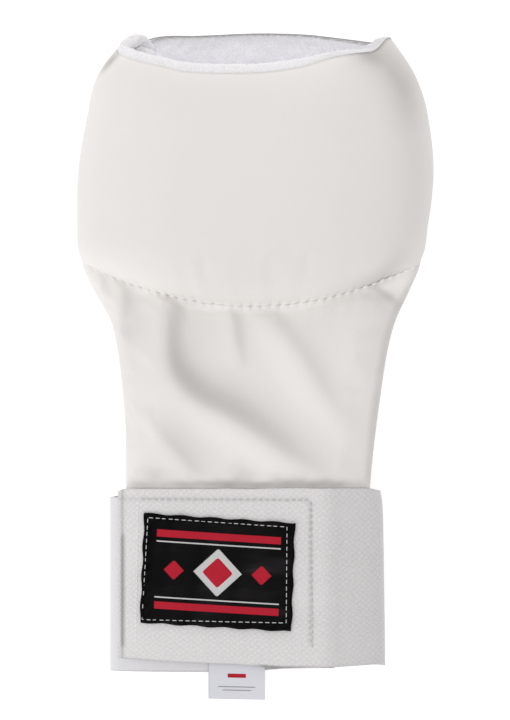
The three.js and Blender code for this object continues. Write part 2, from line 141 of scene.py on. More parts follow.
def closedTube(name, rings, shade=0.0):
    # rings of points along a tube, closed at both ends by one face each
    count, size = rings.shape[:2]
    points = rings.reshape(-1, 3)
    faces = gridFaces(count, size, closedColumns=True)
    outward = faceOutward(points - points.mean(axis=0), faces)
    caps = [list(range(size))[::-1], list(range((count - 1) * size, count * size))]
    if outward[0, 0] != faces[0, 0]:
        caps = [cap[::-1] for cap in caps]
    return makeMesh(name, points, outward, shade=np.full(len(points), shade), caps=caps)


def edgeStrip(path, offset):
    # the faces between an edge and the same edge of the sheet's other side
    return np.stack([path[:-1], path[:-1] + offset, path[1:] + offset, path[1:]], axis=1)


def closedPair(outer, inner, ring=False):
    # two faces of a sheet on the same grid, joined round their edges; ring closes the rows into a loop
    rows, columns = outer.shape[:2]
    count = rows * columns
    top = gridFaces(rows, columns, 0, closedRows=ring)
    bottom = gridFaces(rows, columns, count, closedRows=ring)[:, ::-1]
    index = np.arange(count).reshape(rows, columns)
    loop = np.append(index[:, 0], index[0, 0]) if ring else index[:, 0]
    back = np.append(index[:, -1], index[0, -1]) if ring else index[:, -1]
    rims = [edgeStrip(loop[::-1], count)[:, ::-1], edgeStrip(back, count)[:, ::-1]]
    if not ring:
        rims += [edgeStrip(index[0], count)[:, ::-1], edgeStrip(index[-1][::-1], count)[:, ::-1]]
    faces = np.concatenate([top, bottom] + rims)
    points = np.concatenate([outer.reshape(-1, 3), inner.reshape(-1, 3)])
    rounded = np.arange(len(faces)) < len(top) + len(bottom)
    return points, faceOutward(points, faces), rounded


def faceOutward(points, faces):
    # the sum of a . (b x c + c x d) over the faces is positive when they look outward
    a, b, c, d = (points[faces[:, k]] for k in range(4))
    volume = np.einsum("ij,ij->i", a, np.cross(b, c) + np.cross(c, d)).sum()
    return faces if volume > 0 else faces[:, ::-1]


def joinedPairs(name, pairs):
    # several small closed sheets as one mesh
    points, faces, rounded, first = [], [], [], 0
    for outer, inner in pairs:
        partPoints, partFaces, partRounded = closedPair(outer, inner)
        points.append(partPoints)
        faces.append(partFaces + first)
        rounded.append(partRounded)
        first += len(partPoints)
    return makeMesh(name, np.concatenate(points), np.concatenate(faces), rounded=np.concatenate(rounded))


def thickSheet(name, outer, inner, ring=False, shade=None):
    # a closed sheet, with its UVs in metres and its painted shade: darker in creases and shaded places, paler where
    # light is painted
    points, faces, rounded = closedPair(outer, inner, ring)
    rows, columns = outer.shape[:2]
    along, down = runLengths(outer[rows // 2]), runLengths(outer[:, columns // 2])
    place = np.stack(np.broadcast_arrays(along[None, :], down[:, None]), axis=-1).reshape(-1, 2)
    if shade is not None:
        shade = np.tile(shade.ravel(), 2)
    return makeMesh(name, points, faces, np.concatenate([place, place]), shade, rounded)


def evenly(points, count):
    # count points at equal steps along a polyline
    lengths = runLengths(points)
    places = np.linspace(0, lengths[-1], count)
    return np.stack([np.interp(places, lengths, points[:, k]) for k in range(points.shape[1])], axis=1)


def softLine(spots, count=60):
    # a smooth line through a few spots
    spots = np.asarray(spots, float)
    steps = runLengths(spots)
    fine = np.linspace(0, steps[-1], count)
    return np.stack([curve(steps, spots[:, k])(fine) for k in range(spots.shape[1])], axis=1)


# Cloth
trial = {  # what the two trial sheets share
    "scale": 0.01,  # metres that a millimetre takes, so that the solver works at the size that suits it
    "frames": 18,
    "quality": 5,
    "mass": 0.3,
    "airDamping": 3.0,
    "cap": 1.0,  # millimetres that a point may move
}


def simulateCloth(name, points, held, look):
    # steps a sheet whose held points stay, with air pressure from below and a little spare cloth, and returns
    # how far each point has moved in millimetres, no further than the cap
    rows, columns = points.shape[:2]
    scale = trial["scale"]
    mesh = bpy.data.meshes.new(name)
    mesh.from_pydata((points.reshape(-1, 3) * scale).tolist(), [], gridFaces(rows, columns)[:, ::-1].tolist())
    sheet = bpy.data.objects.new(name, mesh)
    bpy.context.scene.collection.objects.link(sheet)
    sheet.vertex_groups.new(name="held").add(np.flatnonzero(held.ravel()).tolist(), 1.0, "REPLACE")
    cloth = sheet.modifiers.new("cloth", "CLOTH")
    settings = cloth.settings
    settings.quality = trial["quality"]
    settings.mass = trial["mass"]
    settings.tension_stiffness = look["tension"]
    settings.compression_stiffness = look["tension"]
    settings.shear_stiffness = look["shear"]
    settings.bending_stiffness = look["bending"]
    settings.air_damping = trial["airDamping"]
    settings.vertex_group_mass = "held"
    settings.use_pressure = True
    settings.uniform_pressure_force = look["pressure"]
    settings.shrink_min = -look["spare"]
    settings.effector_weights.gravity = 0.0
    cloth.collision_settings.use_collision = False
    cloth.collision_settings.use_self_collision = False
    cloth.point_cache.frame_end = trial["frames"]
    for step in range(1, trial["frames"] + 1):
        bpy.context.scene.frame_set(step)
    settled = sheet.evaluated_get(bpy.context.evaluated_depsgraph_get()).to_mesh()
    after = np.empty(rows * columns * 3, dtype=np.float32)
    settled.vertices.foreach_get("co", after)
    bpy.data.objects.remove(sheet)
    bpy.context.scene.frame_set(1)
    moved = after.reshape(points.shape).astype(float) / scale - points
    length = np.linalg.norm(moved, axis=-1, keepdims=True)
    print(name, "moved up to", round(float(length.max()), 2), "mm")
    return moved * np.minimum(1, trial["cap"] / np.maximum(length, 1e-6))


def splineWeights(places, count):
    # cubic B-spline weights: 2/3 - d^2 + d^3 / 2 within one step and (2 - d)^3 / 6 within two
    d = np.abs(places[:, None] * (count - 1) - np.arange(count)[None, :])
    weights = np.where(d < 1, 2 / 3 - d ** 2 + d ** 3 / 2, np.clip(2 - d, 0, None) ** 3 / 6)
    return weights / weights.sum(axis=1, keepdims=True)


def refined(moved, rowPlaces, columnPlaces):
    # the coarse movement at the fine grid's places, each from 0 to 1
    down, along = splineWeights(rowPlaces, moved.shape[0]), splineWeights(columnPlaces, moved.shape[1])
    return np.einsum("ri,ijk,cj->rck", down, moved, along)


# Materials

def feedSockets(tree, node, inputs):
    # links or sets each input: n2 is the third socket, and any other key a socket's name with _ for its spaces
    for key, value in inputs.items():
        numbered = key[0] == "n" and key[1:].isdigit()
        socket = node.inputs[int(key[1:]) if numbered else key.replace("_", " ")]
        if isinstance(value, bpy.types.NodeSocket):
            tree.links.new(value, socket)
        else:
            socket.default_value = value


def startMaterial(name):
    # a new material, and short calls that add a node, add a sum and feed the shader
    material = bpy.data.materials.new(name)
    material.use_nodes = True
    tree = material.node_tree
    shader = next(node for node in tree.nodes if node.type == "BSDF_PRINCIPLED")

    def add(kind, options=None, **inputs):
        node = tree.nodes.new("ShaderNode" + kind)
        for key, value in (options or {}).items():
            setattr(node, key, value)
        feedSockets(tree, node, inputs)
        return node

    def sums(operation, first, second=0.0):
        return add("Math", {"operation": operation}, n0=first, n1=second).outputs[0]

    def toShader(**inputs):
        feedSockets(tree, shader, inputs)

    return material, add, sums, toShader


def blendColours(add, factor, first, second):
    # mix(first, second, factor) * (1 - the piece's painted shade, which darkens it above 0 and paints light on it below
    # 0)
    blend = add("Mix", {"data_type": "RGBA"}, n0=factor, n6=(*first, 1), n7=(*second, 1)).outputs[2]
    paintedShade = add("Attribute", {"attribute_name": "shade"}).outputs["Fac"]
    bright = add("Math", {"operation": "SUBTRACT"}, n0=1.0, n1=paintedShade).outputs[0]
    return add("VectorMath", {"operation": "SCALE"}, n0=blend, n3=bright).outputs[0]


def leatherMaterial(name, look):
    # bump = cells + poreShare * pores; the clouds vary the colour and how worn the sheen is
    material, add, sums, toShader = startMaterial(name)
    place = add("TexCoord").outputs["Object"]
    clouds = add("TexNoise", Vector=place, Scale=look["cloudScale"], Detail=3.0).outputs["Fac"]
    toShader(Base_Color=blendColours(add, clouds, look["shade"], look["colour"]))
    cells = add("TexVoronoi", {"feature": "SMOOTH_F1"}, Vector=place, Scale=look["grainScale"]).outputs["Distance"]
    pores = add("TexNoise", Vector=place, Scale=look["poreScale"], Detail=3.0).outputs["Fac"]
    height = sums("ADD", sums("MULTIPLY", pores, look["poreShare"]), cells)
    bump = add("Bump", Strength=look["grain"], Distance=look["grainDepth"], Height=height)
    least, most = look["roughness"] - look["wear"], look["roughness"] + look["wear"]
    worn = add("MapRange", Value=clouds, n3=least, n4=most).outputs[0]
    toShader(Normal=bump.outputs[0], Roughness=worn, Specular_IOR_Level=look["gloss"], Sheen_Weight=look["sheen"])
    return material


def terryMaterial(name, look):
    # depth = distance from each loop's middle + 0.8 * nap, which gives the shade and the bump
    material, add, sums, toShader = startMaterial(name)
    place = add("TexCoord").outputs["Object"]
    loops = add("TexVoronoi", Vector=place, Scale=look["loopScale"], Randomness=0.9).outputs["Distance"]
    nap = add("TexNoise", Vector=place, Scale=look["loopScale"] * 0.8, Detail=4.0, Roughness=0.65).outputs["Fac"]
    depth = sums("ADD", loops, sums("MULTIPLY", nap, 0.8))
    shade = add("MapRange", Value=depth, n1=0.35, n2=1.15).outputs[0]
    toShader(Base_Color=blendColours(add, shade, look["colour"], look["shade"]))
    bump = add("Bump", {"invert": True}, Strength=look["bump"], Distance=look["bumpDepth"], Height=depth)
    toShader(Normal=bump.outputs[0], Roughness=0.95, Specular_IOR_Level=0.2, Sheen_Weight=look["sheen"])
    # painted glow: the towelling gives off light of its own, though it is no lamp
    toShader(Emission_Color=(1, 0.99, 1, 1), Emission_Strength=look["paintedGlow"])
    return material


def weaveMaterial(name, look):
    # bump and shade = sin(pi * (u / p + v / q))^2 * sin(pi * (u / p - v / q))^2, with narrow ribs along v, all
    # slightly bent by noise
    material, add, sums, toShader = startMaterial(name)
    weave = add("UVMap", {"uv_map": "weave"}).outputs["UV"]
    stray = add("TexNoise", Vector=weave, Scale=look["strayScale"], Detail=2.0).outputs["Color"]
    bent = add("VectorMath", {"operation": "MULTIPLY_ADD"}, n0=stray, n1=(look["stray"],) * 3, n2=weave)
    axes = add("SeparateXYZ", Vector=bent.outputs[0])
    u = sums("MULTIPLY", axes.outputs[0], math.pi / look["pitchAlong"])
    v = sums("MULTIPLY", axes.outputs[1], math.pi / look["pitchAcross"])
    both = sums("MULTIPLY", sums("SINE", sums("ADD", u, v)), sums("SINE", sums("SUBTRACT", u, v)))
    diamonds = sums("MULTIPLY", both, both)
    ribs = sums("ABSOLUTE", sums("SINE", sums("MULTIPLY", axes.outputs[0], math.pi / look["rib"])))
    yarn = add("TexNoise", Vector=weave, Scale=look["yarnScale"], Detail=3.0, Roughness=0.7).outputs["Fac"]
    height = sums("ADD", sums("MULTIPLY", diamonds, look["diamonds"]), sums("MULTIPLY", ribs, look["ribs"]))
    height = sums("ADD", height, sums("MULTIPLY", yarn, look["yarn"]))
    long = add("VectorMath", {"operation": "MULTIPLY"}, n0=weave, n1=(1.0, 0.25, 1.0))
    # broad streaks in the tone: random for most weaves, a painted sheen on the black label
    streaks = add("TexNoise", Vector=long.outputs[0], Scale=look["streakScale"], Detail=2.0).outputs["Fac"]
    tone = sums("ADD", height, sums("MULTIPLY", sums("SUBTRACT", streaks, 0.5), look["streaks"]))
    shade = add("MapRange", Value=tone, n1=look["shadeFrom"], n2=look["shadeTo"]).outputs[0]
    toShader(Base_Color=blendColours(add, shade, look["shade"], look["colour"]))
    bump = add("Bump", Strength=look["bump"], Distance=look["bumpDepth"], Height=height)
    toShader(Normal=bump.outputs[0], Roughness=look["roughness"], Specular_IOR_Level=look["gloss"])
    toShader(Sheen_Weight=look["sheen"])
    return material


def threadMaterial(name, colour, shade, scale, strength, roughness, sheen):
    # noise as fine as the thread's twist, in its colour and its bump
    material, add, sums, toShader = startMaterial(name)
    place = add("TexCoord").outputs["Object"]
    twist = add("TexNoise", Vector=place, Scale=scale, Detail=3.0).outputs["Fac"]
    toShader(Base_Color=blendColours(add, twist, shade, colour))
    bump = add("Bump", Strength=strength, Distance=0.0002, Height=twist)
    toShader(Normal=bump.outputs[0], Roughness=roughness, Sheen_Weight=sheen, Specular_IOR_Level=0.2)
    return material


leathercloth = leatherMaterial("leathercloth", {
    "colour": (0.835, 0.805, 0.78),
    "shade": (0.805, 0.775, 0.75),
    "cloudScale": 16.0,
    "grainScale": 1300.0,
    "grain": 0.22,
    "grainDepth": 0.00012,
    "poreScale": 2860.0,
    "poreShare": 0.5,
    "roughness": 0.52,
    "wear": 0.06,  # how much the roughness varies
    "gloss": 0.35,
    "sheen": 0.05,
})
terry = terryMaterial("terry", {
    "colour": (0.97, 0.95, 0.975),
    "shade": (0.86, 0.85, 0.90),
    "loopScale": 1300.0,
    "bump": 0.5,
    "bumpDepth": 0.0004,
    "sheen": 0.3,
    "paintedGlow": 0.12,  # painted glow that lightens the towelling where it lies in shade
})
terryEdge = terryMaterial("terryEdge", {
    "colour": (0.97, 0.95, 0.96),
    "shade": (0.86, 0.845, 0.86),
    "loopScale": 1300.0,
    "bump": 0.6,
    "bumpDepth": 0.0004,
    "sheen": 0.1,
    "paintedGlow": 0.0,
})
brushedBand = terryMaterial("brushedBand", {
    "colour": (0.80, 0.79, 0.80),
    "shade": (0.74, 0.73, 0.75),
    "loopScale": 2400.0,
    "bump": 0.25,
    "bumpDepth": 0.0003,
    "sheen": 0.25,
    "paintedGlow": 0.0,
})
elasticWeave = weaveMaterial("elasticWeave", {
    "colour": (0.775, 0.755, 0.755),
    "shade": (0.635, 0.62, 0.62),
    "pitchAlong": 0.0020,
    "pitchAcross": 0.0024,
    "rib": 0.00075,
    "diamonds": 0.6,
    "ribs": 0.06,
    "yarn": 1.2,
    "yarnScale": 1100.0,
    "strayScale": 320.0,
    "stray": 0.0022,
    "streakScale": 60.0,
    "streaks": 0.55,
    "shadeFrom": 0.26,
    "shadeTo": 1.0,
    "bump": 0.35,
    "bumpDepth": 0.0003,
    "roughness": 0.85,
    "gloss": 0.25,
    "sheen": 0.15,
})
hookTape = weaveMaterial("hookTape", {
    "colour": (0.80, 0.80, 0.80),
    "shade": (0.55, 0.55, 0.56),
    "pitchAlong": 0.0024,
    "pitchAcross": 0.0024,
    "rib": 0.0012,
    "diamonds": 0.9,
    "ribs": 0.3,
    "yarn": 0.3,
    "yarnScale": 2200.0,
    "strayScale": 300.0,
    "stray": 0.0006,
    "streakScale": 60.0,
    "streaks": 0.1,
    "shadeFrom": 0.2,
    "shadeTo": 0.8,
    "bump": 0.8,
    "bumpDepth": 0.0006,
    "roughness": 0.6,
    "gloss": 0.4,
    "sheen": 0.0,
})
labelSatin = weaveMaterial("labelSatin", {
    "colour": (0.019, 0.016, 0.018),
    "shade": (0.0012, 0.0011, 0.0013),
    "pitchAlong": 0.0007,
    "pitchAcross": 0.0011,
    "rib": 0.00045,
    "diamonds": 0.3,
    "ribs": 0.5,
    "yarn": 0.5,
    "yarnScale": 2400.0,
    "strayScale": 400.0,
    "stray": 0.0004,
    "streakScale": 130.0,
    # painted sheen: strong broad streaks in the black satin's colour
    "streaks": 3.0,
    "shadeFrom": 0.7,
    "shadeTo": 2.0,
    "bump": 0.35,
    "bumpDepth": 0.00015,
    "roughness": 0.33,
    "gloss": 0.06,
    "sheen": 0.0,
})
tagSatin = weaveMaterial("tagSatin", {
    "colour": (0.74, 0.74, 0.79),
    "shade": (0.64, 0.64, 0.69),
    "pitchAlong": 0.0008,
    "pitchAcross": 0.0008,
    "rib": 0.0005,
    "diamonds": 0.3,
    "ribs": 0.5,
    "yarn": 0.3,
    "yarnScale": 2600.0,
    "strayScale": 400.0,
    "stray": 0.0003,
    "streakScale": 90.0,
    "streaks": 0.4,
    "shadeFrom": 0.1,
    "shadeTo": 0.8,
    "bump": 0.2,
    "bumpDepth": 0.0001,
    "roughness": 0.5,
    "gloss": 0.4,
    "sheen": 0.1,
})
threads = {  # colour and its shade, the scale of the twist, bump, roughness and sheen
    "whiteThread": ((0.92, 0.91, 0.91), (0.80, 0.79, 0.79), 2500.0, 0.4, 0.7, 0.2),
    "paleThread": ((0.66, 0.65, 0.65), (0.50, 0.49, 0.49), 2500.0, 0.5, 0.8, 0.1),
    "redThread": ((0.56, 0.012, 0.035), (0.34, 0.006, 0.018), 1800.0, 0.7, 0.7, 0.0),
    "greyThread": ((0.30, 0.30, 0.31), (0.20, 0.20, 0.21), 1800.0, 0.4, 0.6, 0.1),
}
whiteThread, paleThread, redThread, greyThread = (threadMaterial(name, *look) for name, look in threads.items())
print("materials made")


def finishPiece(piece, material, slot, *nodes):
    # its one material, its body and the plain solids that it stands for; slot is not used
    piece.data.materials.append(material)
    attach(piece, "root")
    if nodes:
        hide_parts(*nodes)
    return piece


# The body of the glove is a flat tube. Each row gives its edges, and the heights of the side seams, of the crown
# and of the underside.
body = {
    "sections": [
        (-110, -46.0, 40.2, 11.5, 20.4, 3.0),
        (-54, -46.0, 40.4, 11.5, 20.4, 3.0),
        (-46, -46.0, 40.6, 11.4, 20.4, 2.9),
        (-38, -46.1, 41.3, 11.0, 22.8, 0.4),
        (-24, -46.3, 42.9, 10.5, 24.6, 0.0),
        (-8, -47.6, 45.1, 10.0, 25.4, 0.0),
        (4, -49.2, 47.1, 9.7, 26.0, 0.0),
        (14, -51.6, 49.8, 9.5, 26.3, 0.0),
        (24, -57.1, 54.4, 9.2, 26.4, 0.0),
        (34, -61.7, 58.6, 9.0, 26.2, 0.0),
        (45, -63.3, 60.9, 9.0, 25.8, 0.0),
        (67, -63.0, 63.3, 9.0, 25.0, 0.0),
        (88, -59.4, 60.8, 9.0, 24.4, 0.0),
        (100, -56.4, 56.6, 9.2, 24.0, 0.0),
        (110, -51.0, 51.2, 9.6, 23.4, 0.0),
        (115, -47.3, 48.7, 9.8, 23.0, 0.0),
        (120, -44.0, 46.0, 10.0, 22.6, 0.0),
    ],
    "roundness": 2.7,  # of the section: 2 is an ellipse, and more is boxier
    "widestY": 67.0,
    "palmFlatness": 1.12,
    "cuffEnd": -106.0,
    "sideStep": 2.8,  # how far the palm seam lies inside the pad's outline
    "stepFrom": 32.5,
    "stepLength": 16.0,
    "lip": [  # across the section, y of the pad's lip, and how far the terry roll stands out
        (-1.0, 111.2, 1.6),
        (-0.93, 108.4, 2.6),
        (-0.78, 105.6, 3.0),
        (-0.63, 103.8, 3.0),
        (-0.42, 101.3, 3.2),
        (0.0, 100.9, 3.3),
        (0.27, 102.8, 3.0),
        (0.5, 106.2, 2.0),
        (0.65, 107.6, 1.6),
        (0.8, 108.8, 1.2),
        (0.92, 112.0, 1.0),
        (1.0, 112.8, 1.0),
    ],
    "rim": [  # across the section, y of the palm's edge of the mouth
        (-1.0, 110.4),
        (-0.92, 113.4),
        (-0.8, 115.5),
        (-0.48, 115.9),
        (0.0, 116.7),
        (0.43, 116.2),
        (0.76, 114.4),
        (0.9, 113.4),
        (1.0, 113.0),
    ],
}

rowsOf = np.array(body["sections"])
leftEdge, rightEdge, seamHeight, crownHeight, floorCurve = (curve(rowsOf[:, 0], rowsOf[:, k]) for k in range(1, 6))
lipRows, rimRows = np.array(body["lip"]), np.array(body["rim"])
lipY, rollDepth = curve(lipRows[:, 0], lipRows[:, 1]), curve(lipRows[:, 0], lipRows[:, 2])
rimY = curve(rimRows[:, 0], rimRows[:, 1])


def across(angle):
    # cos^(2 / roundness) with the cosine's sign: 1 at the right edge and -1 at the left one
    return np.sign(np.cos(angle)) * np.abs(np.cos(angle)) ** (2 / body["roundness"])


def upward(angle):
    # sin^(2 / roundness): 0 at the edges and 1 in the middle
    return np.maximum(0, np.sin(angle)) ** (2 / body["roundness"])


def bodyPoint(y, angle, side, depth):
    # x = middle + halfWidth * across(angle) and z = seam + side * rise * upward(angle), both less the depth
    inPad = smooth((y - body["stepFrom"]) / body["stepLength"])
    halfWidth = (rightEdge(y) - leftEdge(y)) / 2 - body["sideStep"] * inPad - depth
    middle = (rightEdge(y) + leftEdge(y)) / 2
    seam = seamHeight(y)
    rise = (crownHeight(y) - seam if side > 0 else seam - np.maximum(0, floorCurve(y))) - depth
    sine = upward(angle) * (1 if side > 0 else body["palmFlatness"])
    z = seam + side * (gap / 2 + (rise - gap / 2) * np.minimum(1, sine))
    return np.stack(np.broadcast_arrays(middle + halfWidth * across(angle), y + 0 * angle, z), axis=-1)


def evenAngles(count, side):
    # angles from right to left that divide the section at the widest place into equal lengths
    fine = np.linspace(0, math.pi, 4000)
    lengths = runLengths(bodyPoint(body["widestY"] + 0 * fine, fine, side, 0))
    return np.interp(np.linspace(0, lengths[-1], count), lengths, fine)


def foldPlace(x, y, fold):
    # the distance from the fold's line in widths, above 0 on its left, and sin(pi * place along it) ^ 0.8
    line = softLine(fromPhoto(fold["spots"]), 40)
    start, step = line[:-1], np.diff(line, axis=0)
    points = np.stack([x, y], axis=-1).reshape(-1, 1, 2)
    t = np.clip(((points - start) * step).sum(-1) / (step ** 2).sum(-1), 0, 1)
    away = points - (start + t[..., None] * step)
    distance = np.hypot(away[..., 0], away[..., 1])
    nearest = distance.argmin(axis=1)
    pick = np.arange(len(nearest))
    side = step[nearest, 0] * away[pick, nearest, 1] - step[nearest, 1] * away[pick, nearest, 0]
    side /= np.linalg.norm(step[nearest], axis=1)
    overrun = np.sqrt(np.maximum(0, distance[pick, nearest] ** 2 - side ** 2))
    along = (nearest + t[pick, nearest]) / (len(line) - 1)
    width = fold["width"] * mix(1, fold.get("endWidth", 1), along)
    taper = np.sin(math.pi * mix(fold.get("start", 0.1), fold.get("end", 0.9), along)) ** 0.8
    taper = taper * bell(overrun, width * 0.7)
    return (side / width).reshape(x.shape), taper.reshape(x.shape)


def foldStep(x, y, fold):
    # -height * tanh(o / sharp) * exp(-(o / spread)^2 / 2), where the spread is 1 on the ridge's side and "slack" on
    # the other; a valley is -height * exp(-o^2 / 2). The second result is the painted shade of the crease, painted
    # light where the fold's shade is below 0.
    offset, taper = foldPlace(x, y, fold)
    if fold.get("valley"):
        return -fold["height"] * taper * bell(offset, 1), fold.get("shade", 0) * taper * bell(offset, 1)
    spread = np.where(offset > 0, fold.get("slack", 1.6), 1.0)
    dark = np.where(offset > 0.1, bell(offset - 0.1, spread * 0.55), bell(offset - 0.1, 0.5))
    step = -fold["height"] * taper * np.tanh(offset / fold.get("sharp", 0.7)) * bell(offset, spread)
    return step, fold.get("shade", 0) * taper * dark


def foldsOver(x, y, folds):
    # the sum of all the folds' steps, and of their painted shade
    steps = [foldStep(x, y, fold) for fold in folds]
    return sum(step for step, dark in steps), sum(dark for step, dark in steps)


# The pad's lower seam, and the knuckle pad above it
seam = {
    "pitch": 3.3,
    "split": 0.02,  # each sheet's edge from the line itself
    "wave": 0.22,
    "valley": 0.03,
    "valleyReach": 0.9,
    "hole": 0.3,  # depth at each stitch hole
    "holeReach": 1.0,
    # painted shade in each stitch hole
    "holeShade": 0.16,
    "edgePaintedLight": 0.10,  # painted light along the line, so that its groove looks less shaded
    "shineReach": 0.7,
    "shownFrom": 12.5,  # the stitches stop where the seam is lower than this, down at the sides
    "threadShift": -0.1,  # of the thread, in y, from the line itself
}
pad = {
    "columns": 300,
    "rows": 104,
    "rowPower": 1.35,  # above 1 the rows are closer near the seam
    "seamY": 19.0,  # the lower seam in the middle
    "seamRise": 15.5,
    "seamPower": 2.3,
    "foam": 17.0,
    "sideFoam": 5.0,
    "sideTurn": 0.35,
    "lowerEase": 0.24,
    "lowerPower": 2.4,
    "lowerRound": 0.84,
    "upperEase": 0.22,
    "upperPower": 2.2,
    "lipShare": 0.5,
    "waviness": 0.12,  # broad unevenness of the foam
    "shade": 0.02,  # painted shade, a little greyer than the rest away from the lit left edge
    "lipPaintedLight": 0.06,  # painted light on the skin where it turns in under the towelling
    "seamPaintedLight": 0.07,  # and painted light above the seam on the side that faces the light
    "earRise": 1.45,  # the rounded corner right of the mouth
    "earPlace": 0.95,
    "earWidth": 0.045,
    # each crease's shade is painted shade in the skin's colour
    "creases": [
        # the right shoulder, where painted shade stands for the side turned away from the light
        {"spots": [(358, 47), (380, 64), (398, 84), (408, 106)],
         "width": 3.6, "height": 1.5, "start": 0.15, "end": 0.95, "slack": 2.4, "sharp": 0.8, "shade": 0.15},
        {"spots": [(404, 90), (413, 150), (415, 200), (406, 262)],
         "width": 4.6, "height": 0.0, "start": 0.15, "end": 0.9, "valley": True, "shade": 0.07},
        {"spots": [(360, 55), (376, 64), (390, 78), (401, 96), (410, 124)],
         "width": 4.8, "height": 0.0, "start": 0.25, "end": 0.88, "valley": True, "shade": 0.16},
        {"spots": [(354, 54), (364, 57), (376, 66)], "width": 2.2, "height": 0.2, "valley": True, "shade": 0.18},
        # the left shoulder
        {"spots": [(104, 74), (113, 63), (122, 53)], "width": 1.5, "height": -0.6, "shade": 0.33},
        # both ends of the seam
        {"spots": [(80, 262), (86, 256), (94, 252)], "width": 1.2, "height": -0.4},
        {"spots": [(364, 289), (384, 275), (402, 252)], "width": 2.6, "height": 1.4, "valley": True, "shade": 0.14},
    ],
    "fill": 0.95,
    "cloth": {  # the skin's simulation over the foam
        "rows": 34,
        "columns": 56,
        "tension": 18.0,
        "shear": 8.0,
        "bending": 3.0,
        "pressure": 2.0,
        "spare": 0.0,
    },
}


def padSeamY(u):
    # seamY + seamRise * |u| ^ seamPower, with a slight wave
    curved = pad["seamY"] + pad["seamRise"] * np.abs(u) ** pad["seamPower"]
    return curved + seam["wave"] * grain(u * 65 + 100, 0 * u, 4.0, 5, 1)


def pillow(share):
    # (1 - (1 - share / ease) ^ power) ^ round up from the seam, and a soft fall over the last part to the lip
    lower = 1 - np.clip(1 - share / pad["lowerEase"], 0, 1) ** pad["lowerPower"]
    upper = np.clip((share - 1 + pad["upperEase"]) / pad["upperEase"], 0, 1) ** pad["upperPower"]
    return lower ** pad["lowerRound"] * (1 - (1 - pad["lipShare"]) * upper)


def padSkin(y, angle):
    # the body's section, lifted by foam * pillow * upward and pushed out by sideFoam * pillow * u
    u = across(angle)
    fullness = pillow((y - padSeamY(u)) / (lipY(u) - padSeamY(u)))
    fromSide = np.minimum(angle, math.pi - angle) / pad["sideTurn"]
    points = bodyPoint(y, angle, 1, 0)
    points[..., 0] += pad["sideFoam"] * fullness * u * smooth(fromSide)
    points[..., 2] += pad["foam"] * fullness * upward(angle)
    return points


def earRise(u):
    # a bell in the lip's height, beside the mouth
    return pad["earRise"] * bell(u - pad["earPlace"], pad["earWidth"])


seamAngle = evenAngles(1200, 1)
seamLine = padSkin(padSeamY(across(seamAngle)), seamAngle)
seamLength = runLengths(seamLine)
stitchStep = seamLength[-1] / round(seamLength[-1] / seam["pitch"])


def seamDip(along, distance):
    # holes = uneven * (0.5 + 0.5 cos(2 pi along / step))^3 * exp(-(d / reach)^2), and valley * exp(-d / reach);
    # the second result is painted shade in the holes and painted light along the line beside and between them
    beat = (0.5 + 0.5 * np.cos(2 * math.pi * along / stitchStep)) ** 3
    holes = (1 + 0.4 * grain(along + 100, 0 * along, 5.0, 3)) * beat * np.exp(-(distance / seam["holeReach"]) ** 2)
    dip = seam["valley"] * np.exp(-distance / seam["valleyReach"]) + seam["hole"] * holes
    return dip, seam["holeShade"] * holes - seam["edgePaintedLight"] * np.exp(-(distance / seam["shineReach"]) ** 2)


def simulatePadSkin():
    # the skin between seam and lip, held at its edges
    cloth = pad["cloth"]
    angle = evenAngles(cloth["columns"], 1)
    share = np.linspace(0, 1, cloth["rows"])
    y = mix(padSeamY(across(angle)), lipY(across(angle)), share[:, None])
    points = padSkin(y, angle[None, :] + 0 * y)
    held = np.zeros(y.shape, dtype=bool)
    held[:2], held[-2:], held[:, :3], held[:, -3:] = True, True, True, True
    return simulateCloth("padSkinTrial", points, held, cloth)


padMoved = simulatePadSkin()


def makeKnucklePad():
    # the skin with its trial movement, less the seam's holes, plus the foam's waves and the creases; the flat
    # inner side is the body's section, one wall below
    share = np.linspace(0, 1, pad["rows"]) ** pad["rowPower"]
    angle = evenAngles(pad["columns"], 1)
    u = across(angle)
    y = mix(padSeamY(u) + seam["split"], lipY(u), share[:, None])
    angle = angle[None, :] + 0 * y
    outer = padSkin(y, angle) + refined(padMoved, share, np.linspace(0, 1, pad["columns"]))
    along = np.interp(angle[0], seamAngle, seamLength)[None, :]
    fromSeam = y - y[:1]
    dip, seamShade = seamDip(along, fromSeam)
    outer[..., 2] -= dip
    waves = pad["waviness"] * grain(outer[..., 0] + 200, outer[..., 1] + 200, 34.0, 11)
    outer[..., 2] += waves * smooth(fromSeam / 12)
    step, dark = foldsOver(outer[..., 0], outer[..., 1], pad["creases"])
    outer[..., 2] += step
    inner = bodyPoint(y, angle, 1, wall)
    outer[..., 1] += earRise(u) * share[:, None] ** 4
    inner[..., 1] += earRise(u) * share[:, None] ** 4
    # painted light at the lip and above the seam on the lit side, painted shade in the creases, holes and away from the
    # left edge
    paintedLight = pad["lipPaintedLight"] * np.exp(-(lipY(u) - y) / 2.0) * smooth((0.75 - u) / 0.2)
    lit = mix(1, -0.9, smooth((outer[..., 0] - 18) / 20)) * smooth((outer[..., 0] + 62) / 24)
    paintedLight = paintedLight + pad["seamPaintedLight"] * bell(fromSeam, 4.5) * lit
    dark = dark + seamShade - paintedLight + pad["shade"] * smooth((outer[..., 0] + 50) / 30)
    return thickSheet("knucklePad", outer, inner, shade=dark)


knucklePad = finishPiece(makeKnucklePad(), leathercloth, "leathercloth", "knuckle_pad")
print("knuckle pad made")


